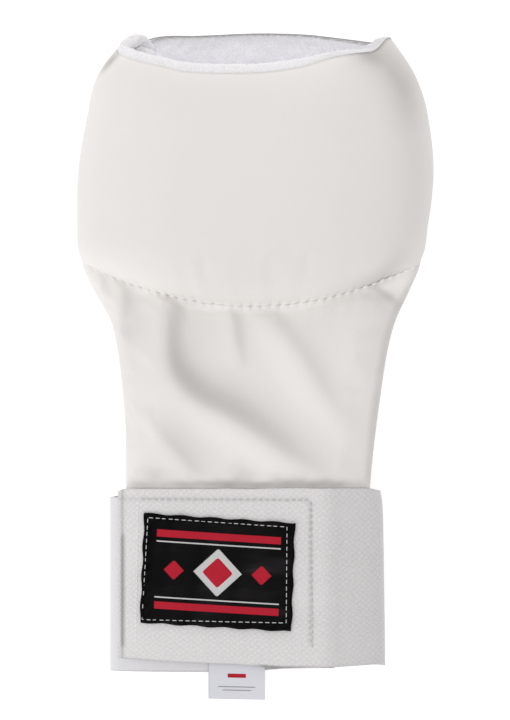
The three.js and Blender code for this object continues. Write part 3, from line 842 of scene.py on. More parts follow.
# The strap is one flat spiral: the smooth band inside, then the elastic over it
strap = {
    "width": 63.0,
    "middle": -2.95,
    "halfWidth": 48.65,
    "centreHeight": 12.5,
    "roundness": 3.0,
    "underSeam": -4.0,
    "bandRise": 9.8,
    "bandThick": 1.4,
    "bandFrontEnd": 28.0,
    "bandDrop": 1.4,
    "bandCornerDrop": 1.9,  # further down at the left corner
    "bandCorner": -47.6,
    "bandLow": 1.7,
    "bandHiddenDrop": 0.4,  # of its lower edge under the elastic
    "elasticRise": 13.7,
    "elasticThick": 1.8,
    "hemEnd": -48.7,
    "hemWidth": 1.9,
    "hemThick": 2.6,
    "elasticDrop": 1.05,
    "bow": 0.8,  # the lower edge's bow
    "lowStep": 1.5,  # how much higher it lies left of the tag
    "flapFall": 0.9,  # how far the elastic sinks past the hidden band's end
    "flapFallFrom": 24.0,
    "flapLine": 19.6,  # the stitched line that closes the flap
    "rightPaintedShade": 0.10,  # painted shade right of the flap's line, where the front turns away from the light
    "edgeWave": 0.16,
    "frontWaves": 0.10,  # the weave's small undulations
    "cornerRound": 1.0,
    "hemCornerRound": 0.9,
    "hemGroove": 0.9,  # how deep each row of stitches pulls the elastic
    "flapGroove": 0.65,
    "topGroove": 0.3,
    "topLine": 3.6,  # below the upper edge
    "pullPitch": 2.3,
    "grooveShade": 0.3,
    "hemShade": 0.08,
    "rimShade": 0.5,
}
strapTop = -45.3


def strapPoint(angle, frontRise, depth, y):
    # x = middle + w * cos^(2/3) and z = centre + h * sin^(2/3), with h the front's rise or the underside's
    cosine, sine = np.cos(angle), np.sin(angle)
    width = strap["halfWidth"] - depth
    height = np.where(sine > 0, frontRise, strap["centreHeight"]) - depth
    power = 2 / strap["roundness"]
    x = strap["middle"] + width * np.sign(cosine) * np.abs(cosine) ** power
    z = strap["centreHeight"] + height * np.sign(sine) * np.abs(sine) ** power
    return np.stack(np.broadcast_arrays(x, y, z), axis=-1)


def strapAngle(x):
    # strapPoint turned round: the angle at which the section's front reaches x
    u = (np.asarray(x, float) - strap["middle"]) / strap["halfWidth"]
    return np.arccos(np.sign(u) * np.abs(u) ** (strap["roundness"] / 2))


def strapFront(x, frontRise, depth=0.0):
    # the front's height over x: centre + (rise - depth) * (1 - |u|^3)^(1/3)
    u = np.clip(np.abs(x - strap["middle"]) / (strap["halfWidth"] - depth), 0, 1)
    power = strap["roundness"]
    return strap["centreHeight"] + (frontRise - depth) * (1 - u ** power) ** (1 / power)


def evenStrapAngles(start, end, rise, count):
    # angles that divide the strap's run into equal lengths, and the whole length
    fine = np.linspace(start, end, 4000)
    lengths = runLengths(strapPoint(fine, rise, 0, 0))
    return np.interp(np.linspace(0, lengths[-1], count), lengths, fine), lengths[-1]


# Hand back
hand = {
    "columns": 300,
    "rows": 150,
    "folds": [  # photograph spots along the fold, width and height in mm, how its ends fade, and the shade painted into its crease (below 0, painted light)
        # the long fold that turns from the seam towards the right of the strap, and the painted light on the slopes
        # beside it
        {"spots": [(177, 300), (175, 341), (180, 370), (201, 393), (234, 410), (265, 430), (297, 453), (333, 473)],
         "width": 6.4, "height": 3.8, "start": 0.22, "end": 0.98, "slack": 1.8, "sharp": 0.55, "shade": 0.22},
        {"spots": [(186, 296), (185, 330), (186, 356)], "width": 4.0, "height": 0.0, "valley": True, "shade": -0.08},
        {"spots": [(196, 412), (228, 436), (262, 456), (296, 472)],
         "width": 4.2, "height": -0.3, "valley": True, "shade": -0.07},
        {"spots": [(262, 330), (282, 360), (300, 394), (318, 412), (338, 438)],
         "width": 3.8, "height": -0.2, "valley": True, "shade": -0.06},
        {"spots": [(350, 310), (352, 350), (353, 400), (354, 452)],
         "width": 5.0, "height": 0.0, "start": 0.15, "end": 0.85, "valley": True, "shade": -0.05},
        # the short fold in the middle and the shallow one beside it
        {"spots": [(236, 306), (240, 341), (248, 370)],
         "width": 3.4, "height": 1.2, "start": 0.2, "end": 1.0, "shade": 0.08},
        {"spots": [(261, 308), (291, 336), (309, 360), (324, 385), (341, 412), (356, 442)],
         "width": 5.2, "height": 1.3, "start": 0.16, "end": 0.98, "shade": 0.05},
        # left, below the seam
        {"spots": [(121, 264), (127, 294), (124, 324), (128, 356)],
         "width": 3.8, "endWidth": 1.0, "height": 1.6, "start": 0.3, "end": 0.92, "slack": 2.0, "shade": 0.08},
        {"spots": [(103, 266), (105, 284), (107, 300)],
         "width": 1.8, "height": 0.8, "start": 0.2, "end": 1.0, "shade": 0.05},
        # above the strap
        {"spots": [(154, 418), (174, 442), (190, 460), (206, 480)],
         "width": 4.6, "height": 1.6, "start": 0.05, "end": 0.93, "slack": 2.4, "shade": 0.11},
        {"spots": [(150, 470), (156, 478), (162, 488)], "width": 2.6, "height": 0.5, "valley": True, "shade": 0.16},
        {"spots": [(238, 468), (246, 477), (256, 488)], "width": 2.8, "height": 0.5, "valley": True, "shade": 0.15},
        {"spots": [(118, 296), (132, 330), (144, 362), (154, 392)],
         "width": 7.0, "height": 0.0, "valley": True, "shade": 0.04},
        # the tuck at the right end of the seam
        {"spots": [(362, 286), (380, 293), (404, 309)],
         "width": 2.2, "height": -0.8, "start": 0.12, "end": 0.95, "slack": 2.0},
        {"spots": [(372, 286), (384, 294), (391, 298), (402, 307)],
         "width": 1.1, "height": 0.5, "start": 0.2, "end": 0.9, "valley": True, "shade": 0.33},
        {"spots": [(384, 302), (387, 320), (386, 344)],
         "width": 2.6, "height": 0.0, "start": 0.25, "end": 0.9, "valley": True, "shade": 0.055},
        {"spots": [(382, 288), (398, 277), (412, 264)],
         "width": 3.0, "height": -0.5, "start": 0.15, "end": 0.9, "valley": True, "shade": -0.18},
    ],
    "fine": 0.12,  # height of the faint wrinkles
    "edgeEase": 1.6,
    "strapEase": 7.0,
    "swellReach": 7.0,  # how far above the strap it starts to swell
    "strapGroove": 0.9,
    "seamPaintedLight": 0.08,  # painted light below the seam, where the pad shades it
    "sideShade": 0.20,  # the right side, turned away from the light, is a little greyer
    "gathers": 0.19,  # short wrinkles that run down from the pad's seam
    "gatherReach": 6.0,
    "hiddenRows": 20,  # the rows under the strap
    "hiddenShare": 0.38,  # and the part of the length that they take
    "trialFrom": 0.4,
    "cloth": {  # the loose sheet's simulation between the seam, its sides and the strap
        "rows": 46,
        "columns": 72,
        "tension": 12.0,
        "shear": 5.0,
        "bending": 2.0,
        "pressure": 0.8,
        "spare": 0.018,  # how much longer than its place, so that it bulges a little
    },
}


def handPoint(y, angle, depth):
    # the body's section, with z raised by the folds, faint wrinkles, gathers, the swell at the strap and the seam
    points = bodyPoint(y, angle, 1, depth)
    x = points[..., 0]
    ease = smooth((y - strapTop) / hand["strapEase"]) * smooth(upward(angle) * hand["edgeEase"])
    height, dark = foldsOver(x, y, hand["folds"])
    faint = grain(0.8 * x + 0.5 * y + 300, 0.35 * y - 0.5 * x + 300, 11.0, 21)
    below = padSeamY(across(angle)) - seam["split"] - y
    along = np.interp(angle, seamAngle, seamLength)
    gathers = hand["gathers"] * grain(along + 50, 0.06 * y + 50, 3.4, 25, 2) * np.exp(-below / hand["gatherReach"])
    height = (height + hand["fine"] * faint) * smooth(below / 3) * ease + gathers * smooth(below / 1.2)
    toStrap = y - strapTop
    swell = np.maximum(0, strapFront(x, strap["elasticRise"], strap["elasticThick"]) - gap - depth - points[..., 2])
    swell = swell * (1 - 0.16 * (1 + grain(x + 80, 0 * x + 7, 12.0, 27, 2))) * smooth(upward(angle) * 1.3)
    height = height + swell * np.exp(-np.maximum(toStrap, 0) / hand["swellReach"]) * smooth((toStrap + 1.8) / 1.6)
    height = height - hand["strapGroove"] * bell(toStrap - 0.1, 1.2) * smooth(upward(angle) * 1.3)
    dip, seamShade = seamDip(along, below)
    points[..., 2] += height - dip
    # painted shade on the right side, which turns away from the light, in the creases and the stitch holes, less
    # painted light below the seam
    side = hand["sideShade"] * smooth((x - rightEdge(y) + 3.4) / 3) * smooth(toStrap / 3)
    paintedLight = hand["seamPaintedLight"] * bell(below, 3.2) * smooth((32 - x) / 14) * smooth((x + 60) / 22)
    dark = dark * ease + side + seamShade - paintedLight
    return points, dark


def handY(angle, share):
    # from the cuff at share 0 to the pad's seam at share 1
    return mix(body["cuffEnd"], padSeamY(across(angle)) - seam["split"], share[:, None])


def simulateHandSheet():
    # the sheet from below the strap to the seam, held at both and at its sides
    cloth = hand["cloth"]
    angle = evenAngles(cloth["columns"], 1)
    y = handY(angle, np.linspace(hand["trialFrom"], 1, cloth["rows"]))
    points = handPoint(y, angle[None, :] + 0 * y, 0)[0]
    held = y < strapTop + 2
    held[-2:], held[:, :3], held[:, -3:] = True, True, True
    return simulateCloth("handSheetTrial", points, held, cloth)


handMoved = simulateHandSheet()


def makeHandBack():
    # handPoint on a grid that is coarser under the strap, with the trial sheet's movement above it
    hiddenRows, hiddenShare, trialFrom = hand["hiddenRows"], hand["hiddenShare"], hand["trialFrom"]
    share = np.concatenate([np.linspace(0, hiddenShare, hiddenRows, endpoint=False),
                            np.linspace(hiddenShare, 1, hand["rows"] - hiddenRows)])
    angle = evenAngles(hand["columns"], 1)
    y = handY(angle, share)
    angle = angle[None, :] + 0 * y
    moved = refined(handMoved, np.clip((share - trialFrom) / (1 - trialFrom), 0, 1), np.linspace(0, 1, hand["columns"]))
    moved = moved * smooth((share - trialFrom) / 0.05)[:, None, None]
    outer, dark = handPoint(y, angle, 0)
    return thickSheet("handBack", outer + moved, handPoint(y, angle, wall)[0] + moved, shade=dark)


handBack = finishPiece(makeHandBack(), leathercloth, "leathercloth", "hand_back")
print("hand back made")


# Palm side: one sheet with the oval opening for thumb and palm
palm = {
    "holeY": -5.0,
    "holeHalf": (29.0, 25.0),
    "perSide": 90,
    "rings": 46,
    "reach": 110.0,  # this length and the spread set how the rings' spokes fan out
    "spread": 1.9,
    "wrinkle": 0.25,
}


def makePalmSide():
    # each ring runs from the oval to the sheet's four edges: (1 - s) * oval(direction) + s * edge(direction)
    run = np.linspace(0, 1, palm["perSide"], endpoint=False)
    one, none = np.ones(len(run)), np.zeros(len(run))
    edgeX = np.concatenate([none, run, one, 1 - run])  # round the sheet, and from its right seam to its left one
    edgeUp = np.concatenate([run, one, 1 - run, none])
    angles = evenAngles(4000, -1)
    shares = np.linspace(0, 1, len(angles))
    edgeY = mix(body["cuffEnd"], rimY(across(np.interp(edgeX, shares, angles))), edgeUp)
    direction = np.arctan2((edgeY - palm["holeY"]) / palm["reach"], (0.5 - edgeX) * palm["spread"])
    ovalX = palm["holeHalf"][0] * np.cos(direction)
    ovalY = palm["holeY"] + palm["holeHalf"][1] * np.sin(direction)
    middle = (rightEdge(ovalY) + leftEdge(ovalY)) / 2
    half = (rightEdge(ovalY) - leftEdge(ovalY)) / 2
    u = (ovalX - middle) / half
    ovalAngle = np.arccos(np.sign(u) * np.abs(u) ** (body["roundness"] / 2))
    ovalShare = np.interp(ovalAngle, angles, shares)
    s = np.linspace(0, 1, palm["rings"])[:, None]
    y = mix(ovalY, edgeY, s)
    angle = np.interp(mix(ovalShare, edgeX, s), shares, angles)
    outer, inner = bodyPoint(y, angle, -1, 0), bodyPoint(y, angle, -1, wall)
    lift = palm["wrinkle"] * (1 + grain(outer[..., 0] + 300, outer[..., 1] + 300, 13.0, 31))
    lift = np.clip(lift * smooth(s * 4) * smooth((1 - s) * 6), 0, 0.6)
    outer[..., 2] += lift
    inner[..., 2] += lift * 0.5
    # the rings are closed, so the columns become the sheet's rows
    return thickSheet("palmSide", outer.transpose(1, 0, 2), inner.transpose(1, 0, 2), ring=True)


palmSide = finishPiece(makePalmSide(), leathercloth, "leathercloth", "palm_side")
print("palm side made")

# The bound edge of the opening
binding = {"width": 2.6, "low": 0.15, "high": 2.2, "around": 220, "section": 14}


def makePalmBinding():
    # a rounded section, x = w/2 cos^0.8, z = h/2 sin^0.8, carried round the oval
    turn = np.linspace(0, 2 * math.pi, binding["around"], endpoint=False)[:, None]
    turnIn = np.linspace(0, 2 * math.pi, binding["section"], endpoint=False)[None, :]
    sideways, upwards = (np.sign(v) * np.abs(v) ** 0.8 for v in (np.cos(turnIn), np.sin(turnIn)))
    inset = gap + binding["width"] / 2 * (1 - sideways)
    z = mix(binding["low"], binding["high"], 0.5 + 0.5 * upwards) + 0 * turn
    x = (palm["holeHalf"][0] - inset) * np.cos(turn)
    y = palm["holeY"] + (palm["holeHalf"][1] - inset) * np.sin(turn)
    points = np.stack([x, y, z], axis=-1).reshape(-1, 3)
    faces = gridFaces(binding["around"], binding["section"], 0, closedRows=True, closedColumns=True)
    return makeMesh("palmBinding", points, faces)


palmBinding = finishPiece(makePalmBinding(), terry, "terry", "palm_binding")
print("palm binding made")


# The towelling that lines the finger chamber
lining = {
    "columns": 150,
    "rows": 70,
    "start": 40.0,
    "thick": 1.6,
    "rimStep": 0.55,
    "nap": 0.3,
    "bulk": 5.6,  # how much fuller the towelling lies at the rim
    "bulkReach": 11.0,
    "lumps": 0.5,
    "rimShade": 0.44,
    "shadeReach": 3.8,
    "cornerRise": 1.0,  # at the left corner it rolls over the rim
}


def liningPoints(depth):
    # the body's section at a depth, along the top from right to left and back along the palm, up to the rim
    rings = []
    for side in (1, -1):
        angle = evenAngles(lining["columns"], side)[::side]
        u = across(angle)
        corner = lining["cornerRise"] * bell(u + 0.93, 0.07)
        palmEnd = rimY(u) - lining["rimStep"] + 0.3 * corner
        end = np.minimum(lipY(u) + corner, palmEnd) if side > 0 else palmEnd
        y = mix(lining["start"], end, np.linspace(0, 1, lining["rows"])[:, None])
        rings.append(bodyPoint(y, angle[None, :] + 0 * y, side, depth))
    return np.concatenate([ring.transpose(1, 0, 2) for ring in rings])


def makeTerryLining():
    # inner = section - through * (nap + bulk * palmwards), where the bulk swells near the rim
    outer, inner = liningPoints(wall + gap), liningPoints(wall + gap + lining["thick"])
    through = outer - inner
    through /= np.linalg.norm(through, axis=-1, keepdims=True) + 1e-9
    nap = lining["nap"] * grain(inner[..., 0] + 300, inner[..., 1] + 3 * inner[..., 2] + 300, 2.2, 41, 2)
    fromRim = inner[:, -1:, 1] - inner[..., 1]
    lumps = lining["lumps"] * grain(inner[..., 0] + 300, inner[..., 1] + 300, 6.0, 43, 2)
    rising = np.sin(math.pi * np.clip(fromRim / 2.2, 0, 0.5))
    bulk = (lining["bulk"] + lumps) * rising * bell(fromRim - 2, lining["bulkReach"])
    palmwards = smooth((-through[..., 2] - 0.2) / 0.6)
    inner = inner - through * (np.clip(nap, -0.4, 0.4) + bulk * palmwards)[..., None]
    # painted shade near the palm's rim, weaker towards the right
    dark = lining["rimShade"] * np.exp(-fromRim / lining["shadeReach"])
    dark = dark * mix(1, 0.6, smooth((inner[..., 0] - 10) / 18))
    return thickSheet("terryLining", outer, inner, ring=True, shade=dark)


terryLining = finishPiece(makeTerryLining(), terry, "terry", "terry_lining")
print("terry lining made")

# The roll over the pad's lip
roll = {
    "columns": 320,
    "section": 22,
    "span": 150.0,  # its length from corner to corner
    "endDepth": 0.8,
    "taper": 9.0,  # mm over which it fades at each corner
    "earShare": 0.35,  # of its depth, left over the rounded right corner
    "overlap": 0.38,  # how far it lies over the edge of the pad's skin, as a share of its depth
    "nap": 0.22,
    "unevenness": 0.5,
    "rightShade": 0.08,
}


def makeMouthRoll():
    # from the lip's inner edge to the skin: y = lip + depth * sin(pi t) ^ 0.6, closed by a flat back on the foam
    angle = evenAngles(roll["columns"], 1)[4:-4]
    u = across(angle)
    y = lipY(u)
    low, high = bodyPoint(y, angle, 1, wall), padSkin(y, angle)
    order = np.arange(len(angle))
    fromEnd = np.minimum(order, order[::-1]) / roll["columns"] * roll["span"]
    depth = mix(roll["endDepth"], rollDepth(u), smooth(fromEnd / roll["taper"]))
    depth = depth * mix(1, roll["earShare"], smooth((u - 0.76) / 0.12))
    t = np.linspace(0, 1, roll["section"])[None, :]
    nose = mix(low[:, None], high[:, None], (0.02 + 0.99 * t)[..., None])
    nose[..., 1] += 0.1 + (depth[:, None] - 0.1) * np.sin(math.pi * t) ** 0.6
    over = smooth((t - 0.75) / 0.25)
    overlap = roll["overlap"] * depth[:, None]
    uneven = 1 + roll["unevenness"] * grain(nose[:, :1, 0] + 200, 0 * t, 5.0, 53, 2)
    nose[..., 1] += earRise(u)[:, None] - overlap * uneven * over
    nose[..., 2] += overlap * 0.2 * np.sin(math.pi * over) + 0.05 * over
    nap = roll["nap"] * grain(nose[..., 0] + 200, nose[..., 2] * 1.3 + 200, 1.6, 51, 2)
    nose[..., 1] += nap * np.sin(math.pi * t)
    back = nose.copy()
    back[..., 1] = (y + earRise(u))[:, None] + 0.05
    dark = roll["rightShade"] * (smooth((u[:, None] - 0.25) / 0.3) + smooth((u[:, None] - 0.72) / 0.1)) + 0 * t
    return thickSheet("mouthRoll", nose, back, shade=dark)


finishPiece(makeMouthRoll(), terryEdge, "terry", "mouth_roll")
print("mouth roll made")

# Two lumps of towelling in the mouth's left corner
cornerLumps = {
    "lines": {  # x, y, z and radius along each lump of the towelling that is bunched there
        "cornerRoll": [
            (-48.6, 106.4, 14.6, 0.6),
            (-47.2, 109.2, 16.0, 1.7),
            (-45.2, 111.8, 15.6, 2.3),
            (-42.4, 113.2, 13.8, 2.4),
            (-39.8, 113.1, 11.6, 2.1),
            (-37.4, 111.0, 9.4, 1.6),
            (-35.6, 108.6, 7.8, 0.7),
        ],
        "cornerTuck": [
            (-47.6, 107.2, 11.6, 0.6),
            (-44.6, 109.4, 11.4, 2.1),
            (-41.2, 109.8, 10.4, 2.3),
            (-37.6, 108.4, 9.0, 2.1),
            (-34.2, 106.6, 7.8, 1.7),
            (-31.0, 105.0, 6.8, 0.6),
        ],
    },
    "along": 90,
    "around": 26,
    "lumps": 0.2,
    # below 0, painted light that makes the tuck paler where the lumps shade it
    "shade": {"cornerRoll": 0.0, "cornerTuck": -0.05},
}


def makeCornerLump(name):
    # a tube: centre(t) + radius(t) * (1 + lumps * noise) * (cos a * across + sin a * up)
    line = softLine(cornerLumps["lines"][name], cornerLumps["along"])
    centre, radius = line[:, None, :3], line[:, None, 3]
    ahead = np.gradient(line[:, :3], axis=0)
    sideways = np.cross(ahead, [0.0, 0.0, 1.0])
    sideways /= np.linalg.norm(sideways, axis=1, keepdims=True)
    turn = np.linspace(0, 2 * math.pi, cornerLumps["around"], endpoint=False)[None, :]
    ends = np.sqrt(np.clip(1 - np.linspace(-1, 1, cornerLumps["along"]) ** 10, 0.02, 1))[:, None]
    wide = centre[..., 0] + 100 + 2 * np.cos(turn)
    high = centre[..., 1] + 100 + 2 * np.sin(turn)
    reach = radius * ends * (1 + cornerLumps["lumps"] * grain(wide, high, 2.0, 57, 3))
    points = centre + reach[..., None] * (np.cos(turn)[..., None] * sideways[:, None, :]
                                          + np.sin(turn)[..., None] * np.array([0.0, 0.0, 1.0]))
    return closedTube(name, points, cornerLumps["shade"][name])


for name in cornerLumps["lines"]:
    finishPiece(makeCornerLump(name), terryEdge, "terry")
print("corner lumps made")

# The size tag's measures stand before the band, whose lower edge follows them
tag = {
    "width": 20.0,
    "x": -6.6,
    "top": -103.4,
    "free": -108.4,  # below this it hangs down from the strap
    "bottom": -119.7,
    "turn": -1.2,  # degrees
    "thick": 0.8,
    "droop": 2.2,
    "curl": 0.35,
}


def makeSmoothBand():
    # strapPoint from the hidden front end round the left side to the seam below, with its edges' own drops
    start, end = strapAngle(strap["bandFrontEnd"]), 2 * math.pi - strapAngle(strap["underSeam"] - gap / 2)
    angle, length = evenStrapAngles(start, end, strap["bandRise"], 220)
    turned = smooth((angle - math.pi) / (end - math.pi))
    x = strapPoint(angle, strap["bandRise"], 0, 0)[:, 0]
    hidden = smooth((x - tag["x"]) / tag["width"])
    topDrop = strap["bandDrop"] + strap["bandCornerDrop"] * smooth((strap["bandCorner"] - x) / 1.4)
    topDrop = mix(topDrop, strap["elasticDrop"], turned)[:, None]
    bottomDrop = mix(mix(strap["bandLow"], strap["bandHiddenDrop"], hidden), strap["elasticDrop"], turned)[:, None]
    share = np.linspace(0, 1, 90)[None, :]
    y = strapTop - mix(topDrop, bottomDrop + strap["width"], share)
    angle = angle[:, None] + 0 * y
    outer = strapPoint(angle, strap["bandRise"], 0, y)
    inner = strapPoint(angle, strap["bandRise"], strap["bandThick"], y)
    return thickSheet("smoothBand", outer, inner), length


def elasticBow(x, share):
    # the lower edge bows down in the middle: -bow * (1 - 2.4 * u^2) * share
    u = np.clip((x - strap["middle"] - 8) / strap["halfWidth"], -1, 1)
    return -strap["bow"] * (1 - 2.4 * u ** 2) * share


def makeElasticStrap():
    # strapPoint from the seam below round the right side to the hem at the left, plus the hem's bead and small
    # waves, less the grooves that the stitches pull
    start = -strapAngle(strap["underSeam"] + gap / 2)
    end, hemStart = strapAngle(strap["hemEnd"]), strapAngle(strap["hemEnd"] + strap["hemWidth"])
    run, length = evenStrapAngles(start, hemStart, strap["elasticRise"], 300)
    angle = np.concatenate([run[:-1], np.linspace(hemStart, end, 18)])
    share = np.linspace(0, 1, 110)[None, :]
    x = strapPoint(angle, strap["elasticRise"], 0, 0)[:, :1]
    front = smooth(angle / 0.5)[:, None]
    y = strapTop - strap["elasticDrop"] * smooth(angle / start)[:, None] - strap["width"] * share
    y = y + front * elasticBow(x, share ** 2)
    y = y + front * strap["edgeWave"] * grain(x + 200, 0 * share, 9.0, 61) * (1 - share) ** 3
    y = y + front * (0.5 * share + strap["lowStep"] * share ** 6 * smooth((12 - x) / 22))
    # the right corner is rounded, and so is the hem's upper one
    corner = bell(x - (strap["middle"] + strap["halfWidth"]), 2.2) * smooth((angle[:, None] + 1.2) / 0.8)
    hemCorner = front * bell(x - strap["hemEnd"], 1.1)
    y = y - (strap["cornerRound"] * corner + strap["hemCornerRound"] * hemCorner) * (1 - share) ** 8
    inHem = np.clip((angle - hemStart) / (end - hemStart), 0, 1)[:, None]
    bead = (strap["hemThick"] - strap["elasticThick"]) * np.sin(math.pi * inHem) ** 0.7
    # grooves along the hem, along the flap's line, where each stitch pulls a little more, and along the top
    beat = 0.6 + 0.4 * np.cos(2 * math.pi * y / strap["pullPitch"])
    inHemLine = 0.25 + 0.75 * smooth((-60 - y) / 3) * smooth((y + 102) / 2)
    groove = strap["hemGroove"] * bell(x - (strap["hemEnd"] + strap["hemWidth"]), 0.5) * front * inHemLine
    inFlap = smooth((-49.4 - y) / 1.5) * smooth((y + 101.6) / 1.5)
    groove = groove + strap["flapGroove"] * bell(x - strap["flapLine"], 0.55) * inFlap * front * beat
    groove = groove + strap["topGroove"] * bell(y - (strapTop - strap["topLine"]), 0.6) * smooth((20 - x) / 2) * front
    angle = angle[:, None] + 0 * y
    outer = strapPoint(angle, strap["elasticRise"], 0, y)
    inner = strapPoint(angle, strap["elasticRise"], strap["elasticThick"], y)
    waves = strap["frontWaves"] * grain(outer[..., 0] + 300, outer[..., 1] + 300, 7.0, 71)
    outer[..., 2] += waves * front + bead - groove
    splay = (0.9 * (share - 0.6)) * smooth((x - 20) / 25) - 0.9 * corner * (1 - share) ** 16
    for points in (outer, inner):
        points[..., 2] -= strap["flapFall"] * smooth((points[..., 0] - strap["flapFallFrom"]) / 7) * front
        points[..., 0] += splay
    # painted shade right of the flap's line, in the grooves, beside the hem, and painted shadow under the edge right of
    # the tag
    dark = strap["rightPaintedShade"] * smooth((outer[..., 0] - 22) / 8) + strap["grooveShade"] * np.clip(groove, 0, 0.9)
    dark = dark + strap["hemShade"] * bell(x - strap["hemEnd"] - 0.7, 0.7) * front
    dark = dark + strap["rimShade"] * smooth((share - 0.982) / 0.008) * smooth((x + 2) / 6) * smooth((30 - x) / 26)
    return thickSheet("elasticStrap", outer, inner, shade=dark), length


smoothBand, bandLength = makeSmoothBand()
finishPiece(smoothBand, brushedBand, "brushed_band", "smooth_band")
elasticStrap, elasticLength = makeElasticStrap()
finishPiece(elasticStrap, elasticWeave, "elastic", "elastic_strap")
print("strap made, band", round(bandLength), "mm and elastic", round(elasticLength), "mm")

# The closure between band and elastic
hook = {"left": -38.0, "right": 22.0, "top": -49.5, "bottom": -101.5, "pitch": 2.4, "ripple": 0.08}


def makeHookPatch():
    # fills the room between band and elastic, with a ripple of sin(2 pi x / pitch) * sin(2 pi y / pitch)
    x = np.linspace(hook["left"], hook["right"], 60)[:, None]
    y = np.linspace(hook["top"], hook["bottom"], 50)[None, :]
    top = strapFront(x, strap["elasticRise"], strap["elasticThick"]) - gap
    bottom = strapFront(x, strap["bandRise"]) + gap
    ripple = hook["ripple"] * np.sin(x * 2 * math.pi / hook["pitch"]) * np.sin(y * 2 * math.pi / hook["pitch"])
    outer = np.stack(np.broadcast_arrays(x, y, top + np.minimum(0, ripple)), axis=-1)
    inner = np.stack(np.broadcast_arrays(x, y, bottom + np.maximum(0, ripple)), axis=-1)
    return thickSheet("hookPatch", outer, inner)


hookPatch = finishPiece(makeHookPatch(), hookTape, "hook_tape", "hook_patch")
print("hook patch made")


# Label patch with its generic design
label = {
    "corners": [(145.6, 511.8), (295.2, 521.6), (291.6, 629.2), (141.2, 620.4)],  # from the upper left, clockwise
    "stitchCorners": [(149.3, 516.2), (287.2, 525.4), (286.4, 620.4), (143.4, 617.4)],
    "stitchSpan": (53.0, 38.5),  # turns a stitch's place into a share of the patch
    "long": 53.5,
    "tall": 38.6,
    "thick": 0.9,
    "edgeWave": 0.22,
    "pucker": 0.22,
    "puckerPitch": 4.4,
    "stitchDip": 0.22,
    "broad": 0.18,  # height of its broad unevenness
    "gleam": 0.28,
    "sheen": 1.3,  # painted sheen: soft paler and darker streaks in the satin's colour
}


def cornerPlace(corners, s, t):
    # bilinear: s runs from left to right and t from top to bottom
    a, b, c, d = fromPhoto(corners)
    s, t = np.asarray(s, float)[..., None], np.asarray(t, float)[..., None]
    return mix(mix(a, b, s), mix(d, c, s), t)


def labelHeight(x, y, s, t):
    # the elastic's height under it plus its rounded thickness, the stitches' puckers and dip, and soft gleams
    edge = np.minimum(np.minimum(s, 1 - s) * label["long"], np.minimum(t, 1 - t) * label["tall"])
    rounded = np.sqrt(np.clip(1 - (1 - np.clip(edge / 0.9, 0, 1)) ** 2, 0, 1))
    aslant = s * label["long"] + t * label["tall"]
    ripple = label["pucker"] * np.cos(2 * math.pi * aslant / label["puckerPitch"]) * bell(edge - 0.9, 1.0)
    gleam = label["gleam"] * (bell(s - 0.55, 0.05) - 0.7 * bell(s - 0.44, 0.05) + 0.4 * bell(s - 0.2, 0.04))
    broad = label["broad"] * grain(x + 200, y + 200, 12.0, 81, 2)
    stitched = -label["stitchDip"] * bell(edge - 1.6, 0.5)
    top = gap + 0.35 + (label["thick"] - 0.35) * rounded + ripple + stitched + (gleam + broad) * smooth(edge / 4)
    return strapFront(x, strap["elasticRise"]) + top


def makeLabelPatch():
    # cornerPlace over the patch with a slight wave along its edges, at labelHeight
    s, t = np.broadcast_arrays(np.linspace(0, 1, 130)[:, None], np.linspace(0, 1, 96)[None, :])
    place = cornerPlace(label["corners"], s, t)
    wave = label["edgeWave"]
    x = place[..., 0] + wave * np.sin(t * 23 + 1) * (2 * s - 1) ** 5
    y = place[..., 1] + wave * np.sin(s * 31) * (1 - 2 * t) ** 5
    outer = np.stack([x, y, labelHeight(x, y, s, t)], axis=-1)
    inner = np.stack([x, y, strapFront(x, strap["elasticRise"]) + gap * 0.6], axis=-1)
    # painted sheen: soft streaks paler and darker than the satin
    streaks = grain(s * label["long"] + 0.15 * t * label["tall"] + 200, t * 9 + 200, 6.0, 85, 2)
    return thickSheet("labelPatch", outer, inner, shade=np.clip(label["sheen"] * streaks, -2.0, 0.8))


labelPatch = finishPiece(makeLabelPatch(), labelSatin, "label_cloth", "label_patch")


def onLabel(across, along):
    # a spot given in millimetres from the patch's middle, as its x, y and the height of the satin there
    s, t = 0.5 + across / label["long"], 0.5 - along / label["tall"]
    place = cornerPlace(label["corners"], s, t)
    return np.stack([place[..., 0], place[..., 1], labelHeight(place[..., 0], place[..., 1], s, t)], axis=-1)


def embroider(name, shapes, lift):
    # each shape is a grid over a four-sided patch: its corners blended bilinearly, domed by
    # lift * (1 - (2 s - 1)^8) * (1 - (2 t - 1)^8)
    pairs = []
    for corners in shapes:
        a, b, c, d = np.asarray(corners, float)
        wide, tall = np.linalg.norm(b - a), np.linalg.norm(d - a)
        if wide < tall:
            b, d = d, b
        n = int(np.clip(max(wide, tall) / 0.5, 6, 90))
        m = 8 if min(wide, tall) < 2.5 else n
        s, t = np.linspace(0, 1, n)[:, None, None], np.linspace(0, 1, m)[None, :, None]
        flat = mix(mix(a, b, s), mix(d, c, s), t)
        s, t = s[..., 0], t[..., 0]
        base = onLabel(flat[..., 0], flat[..., 1])
        dome = (1 - (2 * s - 1) ** 8) * (1 - (2 * t - 1) ** 8)
        satin = 0.05 * np.abs(np.sin(s * n * 0.9))
        upper, lower = base.copy(), base.copy()
        upper[..., 2] += lift * dome + satin * dome
        lower[..., 2] -= 0.12
        pairs.append((upper, lower))
    return joinedPairs(name, pairs)


def bar(left, right, low, high):
    # its corners from the upper left, clockwise
    return [(left, high), (right, high), (right, low), (left, low)]


def lozenge(x, half):
    # its corners from the left one, clockwise
    return [(x - half, 0), (x, half), (x + half, 0), (x, -half)]


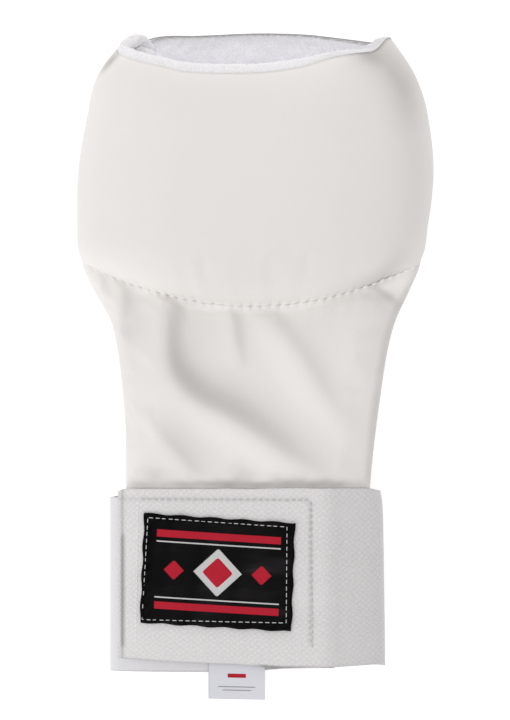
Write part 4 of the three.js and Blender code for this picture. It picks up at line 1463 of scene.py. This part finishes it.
motif = {  # shapes in millimetres from the patch's middle, their thread and how high it lies
    "labelRedThreads": ([bar(-22, 22, 11.4, 14.0), bar(-22, 22, -14.0, -11.4), lozenge(-15.5, 3.6), lozenge(15.5, 3.6)],
                        redThread, 0.16),
    "labelPaleThreads": ([bar(-22, 22, 9.6, 10.1), bar(-22, 22, -10.1, -9.6), lozenge(0, 8.6)], paleThread, 0.18),
    "labelHeart": ([lozenge(0, 6.0)], redThread, 0.42),
}
for name, (shapes, thread, lift) in motif.items():
    finishPiece(embroider(name, shapes, lift), thread, "label_cloth")
print("label made")


# Size tag: one folded ribbon with a plain bar and hairlines
def tagPoint(place, share, height):
    # under the strap's edge down to where it hangs free; z = under - droop * smooth + curl * (2 place / width)^2
    turn = math.radians(tag["turn"])
    y = mix(tag["top"], tag["bottom"], share)
    under = strapFront(tag["x"], strap["bandRise"]) + gap
    droop = tag["droop"] * smooth((tag["free"] - y) / (tag["free"] - tag["bottom"]))
    curl = tag["curl"] * (place / (tag["width"] / 2)) ** 2 * smooth(share)
    x = tag["x"] + place * math.cos(turn)
    y = y + place * math.sin(turn)
    return np.stack(np.broadcast_arrays(x, y, under - droop + curl + height), axis=-1)


def makeSizeTag():
    # two layers that come together in a fold at the lower edge, as sqrt(1 - t^2)
    place = np.linspace(-0.5, 0.5, 44)[:, None] * tag["width"]
    share = np.linspace(0, 1, 50)[None, :]
    fold = np.sqrt(np.clip(1 - np.clip((share - 0.965) / 0.035, 0, 1) ** 2, 0.02, 1))
    outer = tagPoint(place, share, tag["thick"] / 2 + tag["thick"] / 2 * fold)
    inner = tagPoint(place, share, tag["thick"] / 2 - tag["thick"] / 2 * fold)
    return thickSheet("sizeTag", outer, inner)


sizeTag = finishPiece(makeSizeTag(), tagSatin, "tag_satin", "size_tag")


def tagStrokes(name, strokes):
    # thin raised plates on the tag, each from left to right and from top to bottom
    pairs = []
    for left, right, top, bottom in strokes:
        place = np.linspace(left, right, 16)[:, None]
        share = (tag["top"] - np.linspace(top, bottom, 6)[None, :]) / (tag["top"] - tag["bottom"])
        pairs.append((tagPoint(place, share, tag["thick"] + 0.07), tagPoint(place, share, tag["thick"] - 0.1)))
    return joinedPairs(name, pairs)


tagMarks = {  # left, right, top and bottom of each stroke, and its thread
    "tagRedBar": ([(-3.2, 3.2, -110.6, -112.0)], redThread),
    "tagHairlines": ([(-6.5, 6.5, -115.2, -115.45), (-5.0, 5.0, -116.4, -116.65)], greyThread),
}
for name, (strokes, thread) in tagMarks.items():
    finishPiece(tagStrokes(name, strokes), thread, "tag_satin")
print("size tag made")


# Stitches, in millimetres: from hole to hole, what shows of the thread, its radius, its arch and how uneven it is
stitching = {
    "padSeamStitches": {"pitch": stitchStep, "length": 1.8, "radius": 0.42, "lift": 0.14, "uneven": 0.16},
    "labelStitches": {"pitch": 2.35, "length": 1.8, "radius": 0.16, "lift": 0.12, "uneven": 0.0},
    "hemStitches": {"pitch": 1.75, "length": 1.1, "radius": 0.24, "lift": 0.08, "uneven": 0.05},
    "topStitches": {"pitch": 2.3, "length": 1.6, "radius": 0.16, "lift": 0.06, "uneven": 0.08},
    "flapStitches": {"pitch": 2.3, "length": 1.6, "radius": 0.16, "lift": 0.06, "uneven": 0.08},
}
strapLines = {  # photograph spots along the strap's own rows, and their thread
    "hemStitches": ([(139.6, 504), (137.2, 640)], whiteThread),
    "topStitches": ([(141, 498), (220, 498.5), (310, 499)], paleThread),
    "flapStitches": ([(310.5, 499), (312.5, 646)], paleThread),
}


def stitchRow(name, path, material, slot):
    # capsules along a path: radius * sqrt(1 - (2 t)^4) round each for t from -0.5 to 0.5, sunk at both ends by
    # (lift + 0.7 radius) * (2 t)^6 and unevenly tight
    look = stitching[name]
    rings, around, finer = 7, 6, 20
    total = runLengths(path)[-1]
    count = max(2, round(total / look["pitch"]))
    fine = evenly(path, count * finer + 1)
    spacing = total / (count * finer)
    t = np.linspace(-0.5, 0.5, rings)
    place = (np.arange(count) * finer + finer // 2)[:, None] + t[None, :] * look["length"] / spacing
    centre = np.stack([np.interp(place, np.arange(len(fine)), fine[:, k]) for k in range(3)], axis=-1)
    centre[..., 2] += look["uneven"] * grain(np.arange(count)[:, None] * 2.3 + 50, 0 * place + 50, 1.6, 91, 2)
    direction = centre[:, -1] - centre[:, 0]
    direction /= np.linalg.norm(direction, axis=1, keepdims=True)
    sideways = np.cross(direction, np.array([0.0, 0.0, 1.0]))
    sideways /= np.linalg.norm(sideways, axis=1, keepdims=True)
    up = np.cross(sideways, direction)
    swell = look["radius"] * np.sqrt(np.clip(1 - (2 * t) ** 4, 0.06, 1))
    arch = look["lift"] - (look["lift"] + look["radius"] * 0.7) * (2 * t) ** 6
    turn = np.linspace(0, 2 * math.pi, around, endpoint=False)
    ringShape = (np.cos(turn)[None, None, :, None] * sideways[:, None, None, :]
                 + np.sin(turn)[None, None, :, None] * up[:, None, None, :])
    points = (centre + arch[None, :, None] * up[:, None, :])[:, :, None, :] + swell[None, :, None, None] * ringShape
    points = points.reshape(-1, 3)
    size = rings * around
    last = size - around
    ends = np.array([[0, 1, 2, 3], [0, 3, 4, 5],
                     [last, last + 3, last + 2, last + 1], [last, last + 5, last + 4, last + 3]])
    one = np.concatenate([gridFaces(rings, around, closedColumns=True)[:, ::-1], ends])
    one = faceOutward(points[:size] - points[:size].mean(axis=0), one)
    faces = (one[None] + (np.arange(count) * size)[:, None, None]).reshape(-1, 4)
    finishPiece(makeMesh(name, points, faces), material, slot)


def padSeamRow():
    # the seam's line from hole to hole, without the part that is down at the sides
    shown = seamLength[seamLine[:, 2] > seam["shownFrom"]] / stitchStep
    along = np.linspace(math.ceil(shown[0]) * stitchStep, math.floor(shown[-1]) * stitchStep, 1200)
    path = np.stack([np.interp(along, seamLength, seamLine[:, k]) for k in range(3)], axis=1)
    return path + np.array([0, seam["threadShift"], 0])


def labelRow():
    # once round the patch, inside its edge
    corners = label["stitchCorners"] + label["stitchCorners"][:1]
    flat = evenly(fromPhoto(corners), 800)
    edges = fromPhoto(label["corners"])
    s = (flat[:, 0] - mix(edges[0, 0], edges[3, 0], 0.5)) / label["stitchSpan"][0]
    t = (mix(edges[0, 1], edges[1, 1], s) - flat[:, 1]) / label["stitchSpan"][1]
    return np.column_stack([flat, labelHeight(flat[:, 0], flat[:, 1], np.clip(s, 0.03, 0.97), np.clip(t, 0.04, 0.96))])


def strapRow(spots):
    # on the elastic's front
    flat = softLine(fromPhoto(spots), 200) if len(spots) > 2 else evenly(fromPhoto(spots), 200)
    return np.column_stack([flat, strapFront(flat[:, 0], strap["elasticRise"])])


stitchRow("padSeamStitches", padSeamRow(), whiteThread, "leathercloth")
stitchRow("labelStitches", labelRow(), paleThread, "label_cloth")
for name, (spots, thread) in strapLines.items():
    stitchRow(name, strapRow(spots), thread, "elastic")
print("stitches made")

# Floor, light and camera
studio = {
    "floorHalf": 3.0,
    "floorColour": (0.95, 0.95, 0.95),
    "floorGlow": 0.35,
    "world": 0.67,
    "panels": {  # power, place and size of each soft panel
        "keyPanel": (17.8, (-1.6, -1.8, 1.6), 1.2),
        "topPanel": (7.0, (-0.3, 0.0, 2.5), 1.0),
        "mouthPanel": (0.5, (0.0, 0.58, 0.3), 0.3),
    },
    "cameraHeight": 1.6,
    "scaleHeight": 0.012,  # the height at which a pixel covers its 0.355 mm
    "viewHeight": 720 * pixel * mm,
    "sensor": 24.0,
}


def makeStudio():
    # the white floor, light from all round, three soft panels that face the origin, and the camera overhead
    mesh = bpy.data.meshes.new("floor")
    half = studio["floorHalf"]
    mesh.from_pydata([(-half, -half, 0), (half, -half, 0), (half, half, 0), (-half, half, 0)], [], [(0, 1, 2, 3)])
    floor = bpy.data.objects.new("floor", mesh)
    bpy.context.scene.collection.objects.link(floor)
    material, add, sums, toShader = startMaterial("floorCard")
    place = add("TexCoord").outputs["Object"]
    faint = add("TexNoise", Vector=place, Scale=3.0, Detail=2.0).outputs["Fac"]
    toShader(Base_Color=blendColours(add, faint, studio["floorColour"], [c * 0.995 for c in studio["floorColour"]]))
    toShader(Roughness=0.9, Specular_IOR_Level=0.1, Emission_Color=(1, 1, 1, 1), Emission_Strength=studio["floorGlow"])
    mesh.materials.append(material)
    world = bpy.data.worlds.new("studioAir")
    bpy.context.scene.world = world
    world.use_nodes = True
    world.node_tree.nodes["Background"].inputs[0].default_value = (1.0, 1.0, 1.0, 1)
    world.node_tree.nodes["Background"].inputs[1].default_value = studio["world"]
    for name, (power, (x, y, z), size) in studio["panels"].items():
        lamp = bpy.data.lights.new(name, "AREA")
        lamp.energy = power
        lamp.size = size
        lampPiece = bpy.data.objects.new(name, lamp)
        bpy.context.scene.collection.objects.link(lampPiece)
        lampPiece.location = (x, y, z)
        lampPiece.rotation_euler = (math.atan2(math.hypot(x, y), z), 0, math.atan2(x, -y))  # it faces the origin
    camera = bpy.data.cameras.new("overhead")
    cameraPiece = bpy.data.objects.new("overhead", camera)
    bpy.context.scene.collection.objects.link(cameraPiece)
    cameraPiece.location = (-outlineMiddle[0] * mm - 0.5 * pixel * mm, -outlineMiddle[1] * mm, studio["cameraHeight"])
    camera.sensor_fit = "VERTICAL"
    camera.sensor_height = studio["sensor"]
    camera.lens = studio["sensor"] * (studio["cameraHeight"] - studio["scaleHeight"]) / studio["viewHeight"]
    bpy.context.scene.camera = cameraPiece
    bpy.context.scene.view_settings.view_transform = "Standard"


makeStudio()
print("studio made")
